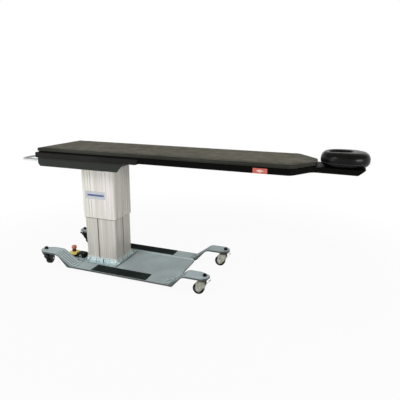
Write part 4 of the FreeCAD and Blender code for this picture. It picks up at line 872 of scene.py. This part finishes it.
def end_tree(tree, geometry, material_socket):
    """Ends a tree: its instances made real and given the material."""
    real = add_node(tree, "GeometryNodeRealizeInstances", {"Geometry": geometry})
    dressed = add_node(tree, "GeometryNodeSetMaterial", {
        "Geometry": real.outputs["Geometry"], "Material": material_socket})
    add_node(tree, "NodeGroupOutput", {"Geometry": dressed.outputs["Geometry"]})
    return tree


def bake(name, tree, seed_mesh, values, body, slot, material=None):
    """Runs a tree on a seed mesh with its inputs set, and keeps the result as a plain piece."""
    values = {**values, "Material": material or SLOT_FINISHES[slot]}
    source = add_object(name + "_seed", seed_mesh)
    grower = source.modifiers.new("grow", "NODES")
    grower.node_group = tree
    for item in tree.interface.items_tree:
        if item.in_out == "INPUT" and item.name in values:
            grower[item.identifier] = values[item.name]
    grown = evaluated_mesh(source)
    bpy.data.objects.remove(source)
    grown.name = name
    add_piece(name, grown, body, slot, material)


def line_mesh(name, lines):
    """A mesh of loose polylines; each line is (points, closed)."""
    points, edges = [], []
    for line, closed in lines:
        start = len(points)
        points += [tuple(point) for point in line]
        edges += [(start + i, start + i + 1) for i in range(len(line) - 1)]
        if closed:
            edges.append((start + len(line) - 1, start))
    mesh = bpy.data.meshes.new(name)
    mesh.from_pydata(points, edges, [])
    return mesh


BEAD_SEGMENTS = 8
BEAD_RINGS = 6


def bead_tree():
    """Beads laid end to end along lines: stitches, or the ripples of a weld."""
    tree, given = start_tree("bead_line", (("Pitch", "Float"), ("Bead Size", "Vector")))
    curve = add_node(tree, "GeometryNodeMeshToCurve", {"Mesh": given["Geometry"]})
    even = add_node(tree, "GeometryNodeResampleCurve", {
        "Curve": curve.outputs["Curve"], "Length": given["Pitch"]}, mode="LENGTH")
    bead = add_node(tree, "GeometryNodeMeshUVSphere", {
        "Segments": BEAD_SEGMENTS, "Rings": BEAD_RINGS, "Radius": 0.5})
    tangent = add_node(tree, "GeometryNodeInputTangent")
    turn = add_node(tree, "FunctionNodeAlignRotationToVector", {
        "Vector": tangent.outputs["Tangent"]}, axis="X")
    laid = add_node(tree, "GeometryNodeInstanceOnPoints", {
        "Points": even.outputs["Curve"], "Instance": bead.outputs["Mesh"],
        "Rotation": turn.outputs["Rotation"], "Scale": given["Bead Size"]})
    soft = add_node(tree, "GeometryNodeSetShadeSmooth", {"Geometry": laid.outputs["Instances"]})
    return end_tree(tree, soft.outputs["Geometry"], given["Material"])


SCREW_CROWN_SHARE = 0.55            # the crown's flat top as a share of the head
SCREW_SIDES = 20


def screw_tree():
    """Pan-head screws standing on points, pointing up: a straight edge under a low cone."""
    tree, given = start_tree("screw_heads", (("Head Radius", "Float"), ("Head Height", "Float")))
    edge = add_node(tree, "GeometryNodeMeshCylinder", {
        "Vertices": SCREW_SIDES, "Radius": given["Head Radius"], "Depth": given["Head Height"]})
    slim = add_node(tree, "ShaderNodeMath", (given["Head Radius"], SCREW_CROWN_SHARE), operation="MULTIPLY")
    crown = add_node(tree, "GeometryNodeMeshCone", {
        "Vertices": SCREW_SIDES, "Radius Top": slim.outputs["Value"], "Radius Bottom": given["Head Radius"],
        "Depth": given["Head Height"]})
    raised = add_node(tree, "ShaderNodeCombineXYZ", {"Z": given["Head Height"]})
    raised_crown = add_node(tree, "GeometryNodeTransform", {
        "Geometry": crown.outputs["Mesh"], "Translation": raised.outputs["Vector"]})
    joined = add_node(tree, "GeometryNodeJoinGeometry")
    tree.links.new(edge.outputs["Mesh"], joined.inputs["Geometry"])
    tree.links.new(raised_crown.outputs["Geometry"], joined.inputs["Geometry"])
    standing = add_node(tree, "GeometryNodeInstanceOnPoints", {
        "Points": given["Geometry"], "Instance": joined.outputs["Geometry"]})
    return end_tree(tree, standing.outputs["Instances"], given["Material"])


RIB_SIDES = 8


def rib_tree():
    """Round ribs side by side, each a circle swept along its line; one alone makes a welt."""
    tree, given = start_tree("tread_ribs", (("Count", "Int"), ("Pitch", "Float"), ("Rib Radius", "Float")))
    line = add_node(tree, "GeometryNodeMeshToCurve", {"Mesh": given["Geometry"]})
    section = add_node(tree, "GeometryNodeCurvePrimitiveCircle", {
        "Resolution": RIB_SIDES, "Radius": given["Rib Radius"]}, mode="RADIUS")
    rib = add_node(tree, "GeometryNodeCurveToMesh", {
        "Curve": line.outputs["Curve"], "Profile Curve": section.outputs["Curve"], "Fill Caps": True})
    step = add_node(tree, "ShaderNodeCombineXYZ", {"Y": given["Pitch"]})
    places = add_node(tree, "GeometryNodeMeshLine", {
        "Count": given["Count"], "Offset": step.outputs["Vector"]}, mode="OFFSET")
    ribs = add_node(tree, "GeometryNodeInstanceOnPoints", {
        "Points": places.outputs["Mesh"], "Instance": rib.outputs["Mesh"]})
    return end_tree(tree, ribs.outputs["Instances"], given["Material"])


TREAD_INNER = 189.7 * MM            # from the middle of the base to the inner edge of each strip
RIB_PITCH = 8.0 * MM
RIB_RADIUS = 1.6 * MM
RIB_END_GAP = 4.0 * MM


def tread_ribs(tree):
    """Ribs along the two rubber strips of the deck."""
    low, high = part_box("tread_strips")
    count = int((high.y - TREAD_INNER - 2 * RIB_END_GAP) / RIB_PITCH) + 1
    spread = (count - 1) * RIB_PITCH
    middle = (high.y + TREAD_INNER) / 2
    for side, name in ((-1, "near"), (1, "far")):
        start_y = side * middle - spread / 2
        ends = [(low.x + RIB_END_GAP, start_y, high.z), (high.x - RIB_END_GAP, start_y, high.z)]
        bake("tread_ribs_" + name, tree, line_mesh("rib_line", [(ends, False)]), {
            "Count": count, "Pitch": RIB_PITCH, "Rib Radius": RIB_RADIUS}, "base", "tread_rubber")


STITCH_PITCH = 7.0 * MM
STITCH_SIZE = (5.0 * MM, 1.0 * MM, 1.0 * MM)
STITCH_RISE = 3.0 * MM              # above the welt
WELT_RADIUS = 1.1 * MM
SEAM_LIFT = 0.2 * MM                # off the skin
SEAM_STEP = 12.0 * MM
PAD_SEAM_HEIGHT = 0.42              # shares of the pad's and the cushion's heights
CUSHION_SEAM_HEIGHT = 0.30


def seam_line(corners):
    """A closed seam divided evenly enough to follow a curved skin."""
    line = []
    for start, end in zip(corners, corners[1:] + corners[:1]):
        parts = max(1, round((end - start).length / SEAM_STEP))
        line += [start.lerp(end, i / parts) for i in range(parts)]
    return line


def sewn_seam(name, piece, corners, body, welts, beads):
    """A welt round a soft piece with a row of stitches above it."""
    line = seam_line(corners)
    welt = on_skin(piece, line, SEAM_LIFT)
    bake(name + "_welt", welts, line_mesh("welt_line", [(welt, True)]), {
        "Count": 1, "Pitch": 0.0, "Rib Radius": WELT_RADIUS}, body, "pad_vinyl")
    above = on_skin(piece, [point + Vector((0.0, 0.0, STITCH_RISE)) for point in line], SEAM_LIFT)
    bake(name + "_stitches", beads, line_mesh("stitch_line", [(above, True)]), {
        "Pitch": STITCH_PITCH, "Bead Size": STITCH_SIZE}, body, "strip_tape", STITCH_THREAD)


def pad_seam(piece, welts, beads):
    """The seam round the side of the mattress pad."""
    low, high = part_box("mattress_pad")
    z = low.z + (high.z - low.z) * PAD_SEAM_HEIGHT
    far = [Vector((point.x, point.y, z)) for point in pad_side(low, high)]
    near = [Vector((point.x, -point.y, z)) for point in reversed(far)]
    sewn_seam("mattress_pad", piece, far + near, "table_top", welts, beads)


def cushion_seam(piece, welts, beads):
    """The seam round the side of the face cushion."""
    low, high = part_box("face_cushion")
    z = low.z + (high.z - low.z) * CUSHION_SEAM_HEIGHT
    half = (high - low) / 2
    plan = rounded_plan((low + high) / 2, half.x, half.y, CUSHION_PLAN_RADIUS, CUSHION_PLAN_STEPS)
    sewn_seam("face_cushion", piece, [Vector((p.x, p.y, z)) for p in plan], "head_cushion", welts, beads)


WELD_PITCH = 2.2 * MM
WELD_SIZE = (4.0 * MM, 4.5 * MM, 3.0 * MM)
WELD_STEPS = 24


def welds(beads):
    """Weld beads round each handle socket where it meets the foot cross tube."""
    low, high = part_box("handle_sockets")
    socket = (high.z - low.z) / 2
    leg_y = high.y - socket
    centre_z = (low.z + high.z) / 2
    lines = []
    for side in (-1, 1):
        circle = []
        for i in range(WELD_STEPS):
            angle = 2 * math.pi * i / WELD_STEPS
            circle.append((high.x, side * leg_y + socket * math.cos(angle),
                           centre_z + socket * math.sin(angle)))
        lines.append((circle, True))
    bake("handle_socket_welds", beads, line_mesh("socket_welds", lines), {
        "Pitch": WELD_PITCH, "Bead Size": WELD_SIZE}, "table_top", "frame_steel")


LID_SCREW_INSET = 9.0 * MM
LID_SCREW_RADIUS = 2.6 * MM
LID_SCREW_HEIGHT = 0.8 * MM


def enclosure_screws():
    """Screws at the corners of the junction box lid."""
    low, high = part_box("junction_lid")
    places = [(x, y, high.z) for x in (low.x + LID_SCREW_INSET, high.x - LID_SCREW_INSET)
              for y in (low.y + LID_SCREW_INSET, high.y - LID_SCREW_INSET)]
    mesh = bpy.data.meshes.new("lid_screw_places")
    mesh.from_pydata(places, [], [])
    bake("junction_lid_screws", screw_tree(), mesh, {
        "Head Radius": LID_SCREW_RADIUS, "Head Height": LID_SCREW_HEIGHT}, "base", "bolt_steel")


# ---------------------------------------------------------------- column trim

COLLAR_SLOTS = ((-39.0, 2.5), (24.0, 6.5))   # place from the column axis and width, in millimetres
COLLAR_SLOT_TOP = 3.0 * MM          # below the top of the collar
COLLAR_SLOT_DEPTH = 0.3 * MM


def collar_slot_shadows():
    """Black strips on the long faces of the collar, from just under its top down to the plate, painted as
    the shade in its slots.
    """
    low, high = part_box("foot_collar")
    shape = bmesh.new()
    for offset, width in COLLAR_SLOTS:
        for side, face in ((-1, low.y), (1, high.y)):
            x = COLUMN_X + offset * MM
            ys = sorted((face, face + side * COLLAR_SLOT_DEPTH))
            add_block(shape, Vector((x - width * MM / 2, ys[0], low.z)),
                      Vector((x + width * MM / 2, ys[1], high.z - COLLAR_SLOT_TOP)))
    # The strips are black as painted shade in the slots.
    add_piece("collar_slot_shadows", mesh_of(shape, "collar_slot_shadows", False), "base", "black_plastic")


KEY_SLOT_WIDTH = 9.0 * MM
KEY_SLOT_DEPTH = 3.0 * MM
KEY_SLOT_OFFSET = 22.0 * MM         # on the long faces, from the column axis towards the foot
SHADE_STRIP_GAP = 0.3 * MM
SHADE_STRIP_THICKNESS = 1.2 * MM
SHADE_STRIP_BEVEL = 0.3 * MM


def slot_shade_strips():
    """A grey strip on the floor of each key slot of the fixed stage, put there as painted shade in the slot.
    """
    low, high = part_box("column_inner_stage")
    collar_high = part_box("foot_collar")[1]
    half = KEY_SLOT_WIDTH / 2 - SHADE_STRIP_GAP
    slot_x = COLUMN_X - KEY_SLOT_OFFSET
    bottom, top = collar_high.z, high.z - SHADE_STRIP_GAP
    depths = (KEY_SLOT_DEPTH, KEY_SLOT_DEPTH - SHADE_STRIP_THICKNESS)
    shape = bmesh.new()
    for edge, inwards in ((low, 1), (high, -1)):
        ys = sorted(edge.y + inwards * depth for depth in depths)
        add_block(shape, Vector((slot_x - half, ys[0], bottom)), Vector((slot_x + half, ys[1], top)))
        xs = sorted(edge.x + inwards * depth for depth in depths)
        add_block(shape, Vector((xs[0], -half, bottom)), Vector((xs[1], half, top)))
    bmesh.ops.bevel(shape, geom=shape.edges[:], offset=SHADE_STRIP_BEVEL, segments=2, affect="EDGES")
    # The strips are mid grey as painted shade in the slots.
    add_piece("slot_shade_strips", mesh_of(shape, "slot_shade_strips", False), "base", "glide_plastic", slot_shade_finish())


WIPER_HEIGHT = 5.0 * MM
WIPER_GAP = 0.6 * MM                # from the fixed stage
WIPER_LIP = 2.2 * MM                # thickness at its lip and at its root
WIPER_ROOT = 3.6 * MM
WIPER_CORNER = 5.0 * MM
WIPER_STEPS = 4


def stage_wiper():
    """A wiper lip under the moving stage round the fixed one, drawn dark as the painted shade line between
    the stages.
    """
    inner_low, inner_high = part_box("column_inner_stage")
    outer_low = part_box("column_outer_stage")[0]
    shape = bmesh.new()
    rings = []
    for reach, z in ((0.0, 0.0), (0.0, -WIPER_HEIGHT), (WIPER_LIP, -WIPER_HEIGHT), (WIPER_ROOT, 0.0)):
        half_x = (inner_high.x - inner_low.x) / 2 + WIPER_GAP + reach
        half_y = (inner_high.y - inner_low.y) / 2 + WIPER_GAP + reach
        plan = rounded_plan(Vector((COLUMN_X, 0.0)), half_x, half_y, WIPER_CORNER + reach, WIPER_STEPS)
        rings.append([shape.verts.new((p.x, p.y, outer_low.z + z)) for p in plan])
    loft(shape, rings, closed=True)
    # Its dark coated finish paints the shade line between the stages.
    add_piece("stage_wiper", mesh_of(shape, "stage_wiper"), "table_top", "glide_plastic",
              SLOT_FINISHES["frame_steel"])


# ---------------------------------------------------------------- wheel trim

WHEEL_WIDTH = 30.0 * MM
LIP_INNER = 25.0 * MM               # the tyre's lips lap over the rim of the wheel centre
LIP_OUTER = 38.0 * MM
LIP_HEIGHT = 1.2 * MM
LIP_SINK = 0.2 * MM                 # into the tyre's side
LIP_SECTION = (0, 30, 60, 90, 120, 150, 180)    # degrees round the rounded section
LIP_STEPS = 48


def wheel_axis(place):
    """Direction of one wheel's axle, from the record's roll joint."""
    for joint in frame["record"]["behaviour"]["joints"]:
        if joint["name"] == "roll_" + place:
            return Vector(joint["axis"]).normalized()
    raise LookupError(place)


def tyre_lips(place):
    """A rounded rubber lip on each side of one wheel."""
    tyre_low, tyre_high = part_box("caster_tyre_" + place)
    centre = (tyre_low + tyre_high) / 2
    axle = wheel_axis(place)
    across = Vector((-axle.y, axle.x, 0.0))
    up = Vector((0.0, 0.0, 1.0))
    middle = (LIP_INNER + LIP_OUTER) / 2
    reach = (LIP_OUTER - LIP_INNER) / 2
    shape = bmesh.new()
    for side in (-1, 1):
        rings = []
        for swing in LIP_SECTION:
            angle = math.radians(swing)
            radius = middle + reach * math.cos(angle)
            offset = side * (WHEEL_WIDTH / 2 - LIP_SINK + LIP_HEIGHT * math.sin(angle))
            ring = []
            for i in range(LIP_STEPS):
                around = 2 * math.pi * i / LIP_STEPS
                spoke = across * math.cos(around) + up * math.sin(around)
                ring.append(shape.verts.new(centre + axle * offset + spoke * radius))
            rings.append(ring)
        loft(shape, rings, closed=True)
    name = "tyre_lips_" + place
    add_piece(name, mesh_of(shape, name), "wheel_" + place, "tyre_rubber")


# ---------------------------------------------------------------- floor and surroundings

FLOOR_RADIUS = 3.4
FLOOR_SIDES = 96
FLOOR_DROP = 0.5 * MM               # below the wheels
FLOOR_GREY = (0.35, 0.35, 0.35, 1.0)
FLOOR_SHADE = 0.06                  # how much of the floor's own shading the view keeps
FLOOR_FADE = (1.4, 2.6)             # metres from the object where the floor turns plain white
WHITE = (1.0, 1.0, 1.0, 1.0)


def seen_or_mirrored(tree):
    """One for the rays that come from the view, a mirror or a clear surface, else nothing."""
    path = add_node(tree, "ShaderNodeLightPath").outputs
    both = add_node(tree, "ShaderNodeMath", (
        path["Is Camera Ray"], path["Is Glossy Ray"]), operation="MAXIMUM")
    either = add_node(tree, "ShaderNodeMath", (
        both.outputs["Value"], path["Is Transmission Ray"]), operation="MAXIMUM")
    return either.outputs["Value"]


def add_floor():
    """A round white floor that keeps a soft shadow near the object and fades to plain white."""
    shape = bmesh.new()
    bmesh.ops.create_circle(shape, cap_ends=True, segments=FLOOR_SIDES, radius=FLOOR_RADIUS)
    mesh = bpy.data.meshes.new("floor")
    shape.to_mesh(mesh)
    shape.free()
    floor = add_object("floor", mesh)
    floor.location.z = -FLOOR_DROP
    material = bpy.data.materials.new("white_floor")
    material.use_nodes = True
    tree = material.node_tree
    tree.nodes.clear()
    place = add_node(tree, "ShaderNodeTexCoord")
    distance = add_node(tree, "ShaderNodeVectorMath", (place.outputs["Object"],), operation="LENGTH")
    fade = add_node(tree, "ShaderNodeMapRange", {
        "Value": distance.outputs["Value"], "From Min": FLOOR_FADE[0], "From Max": FLOOR_FADE[1],
        "To Min": 1.0 - FLOOR_SHADE, "To Max": 1.0})
    share = add_node(tree, "ShaderNodeMath", (
        seen_or_mirrored(tree), fade.outputs["Result"]), operation="MULTIPLY")
    matt = add_node(tree, "ShaderNodeBsdfDiffuse", {"Color": FLOOR_GREY})
    white = add_node(tree, "ShaderNodeEmission", {"Color": WHITE, "Strength": 1.0})
    mixed = add_node(tree, "ShaderNodeMixShader", (
        share.outputs["Value"], matt.outputs["BSDF"], white.outputs["Emission"]))
    add_node(tree, "ShaderNodeOutputMaterial", {"Surface": mixed.outputs["Shader"]})
    mesh.materials.append(material)


WORLD_LIGHT = (0.35, 1.5)           # on the object, from the horizon and from above
WORLD_LIGHT_FROM = 0.4              # how steeply up the brighter light begins
WORLD_SLANT = 1.4                   # near the largest sum of a level direction's X and Y
WORLD_SIDES = (1.15, 0.5)           # share of it from the near foot side and from the far head side
WORLD_COOL = (0.96, 1.0, 1.02, 1.0)     # its tints there
WORLD_WARM = (1.06, 1.0, 0.86, 1.0)
WORLD_SHOWN = (1.0, 0.35)           # as seen and mirrored, from the horizon and from above
WORLD_SHOWN_SPAN = (0.22, 0.55)


def add_world():
    """A plain studio: white round the horizon where it is seen or mirrored, dimmer in its light."""
    world = bpy.data.worlds.new("studio")
    world.use_nodes = True
    tree = world.node_tree
    tree.nodes.clear()
    direction = add_node(tree, "ShaderNodeTexCoord").outputs["Generated"]
    axes = add_node(tree, "ShaderNodeSeparateXYZ", {"Vector": direction}).outputs
    slant = add_node(tree, "ShaderNodeMath", (axes["X"], axes["Y"]), operation="ADD")
    side = add_node(tree, "ShaderNodeMapRange", {
        "Value": slant.outputs["Value"], "From Min": -WORLD_SLANT, "From Max": WORLD_SLANT})
    level = add_node(tree, "ShaderNodeMapRange", {
        "Value": axes["Z"], "From Min": WORLD_LIGHT_FROM, "To Min": WORLD_LIGHT[0],
        "To Max": WORLD_LIGHT[1]}, interpolation_type="SMOOTHSTEP")
    share = add_node(tree, "ShaderNodeMapRange", {
        "Value": side.outputs["Result"], "To Min": WORLD_SIDES[0], "To Max": WORLD_SIDES[1]})
    light = add_node(tree, "ShaderNodeMath", (
        level.outputs["Result"], share.outputs["Result"]), operation="MULTIPLY")
    shown = add_node(tree, "ShaderNodeMapRange", {
        "Value": axes["Z"], "From Min": WORLD_SHOWN_SPAN[0], "From Max": WORLD_SHOWN_SPAN[1],
        "To Min": WORLD_SHOWN[0], "To Max": WORLD_SHOWN[1]}, interpolation_type="SMOOTHSTEP")
    seen = seen_or_mirrored(tree)
    strength = add_node(tree, "ShaderNodeMix", {
        "Factor": seen, "A": light.outputs["Value"], "B": shown.outputs["Result"]})
    warmth = add_node(tree, "ShaderNodeMix", {
        "Factor": side.outputs["Result"], "A": WORLD_COOL, "B": WORLD_WARM}, data_type="RGBA")
    colour = add_node(tree, "ShaderNodeMix", {
        "Factor": seen, "A": warmth.outputs[MIX_COLOUR], "B": WHITE}, data_type="RGBA")
    sky = add_node(tree, "ShaderNodeBackground", {
        "Color": colour.outputs[MIX_COLOUR], "Strength": strength.outputs["Result"]})
    add_node(tree, "ShaderNodeOutputWorld", {"Surface": sky.outputs["Background"]})
    bpy.context.scene.world = world


# ---------------------------------------------------------------- the whole scene

bpy.context.scene.view_settings.view_transform = "Standard"
add_camera()
stop_lead()
add_world()
add_floor()
for lamp in LAMPS:
    add_lamp(*lamp)

dress_nodes()
pad = mattress_pad()
cushion = face_cushion()
column_badge()
side_label()
slot_shade_strips()
stage_wiper()
collar_slot_shadows()
for place in ("head_near", "head_far", "foot_near", "foot_far"):
    tyre_lips(place)
ribs = rib_tree()
bead_line = bead_tree()
tread_ribs(ribs)
pad_seam(pad, ribs, bead_line)
cushion_seam(cushion, ribs, bead_line)
welds(bead_line)
enclosure_screws()
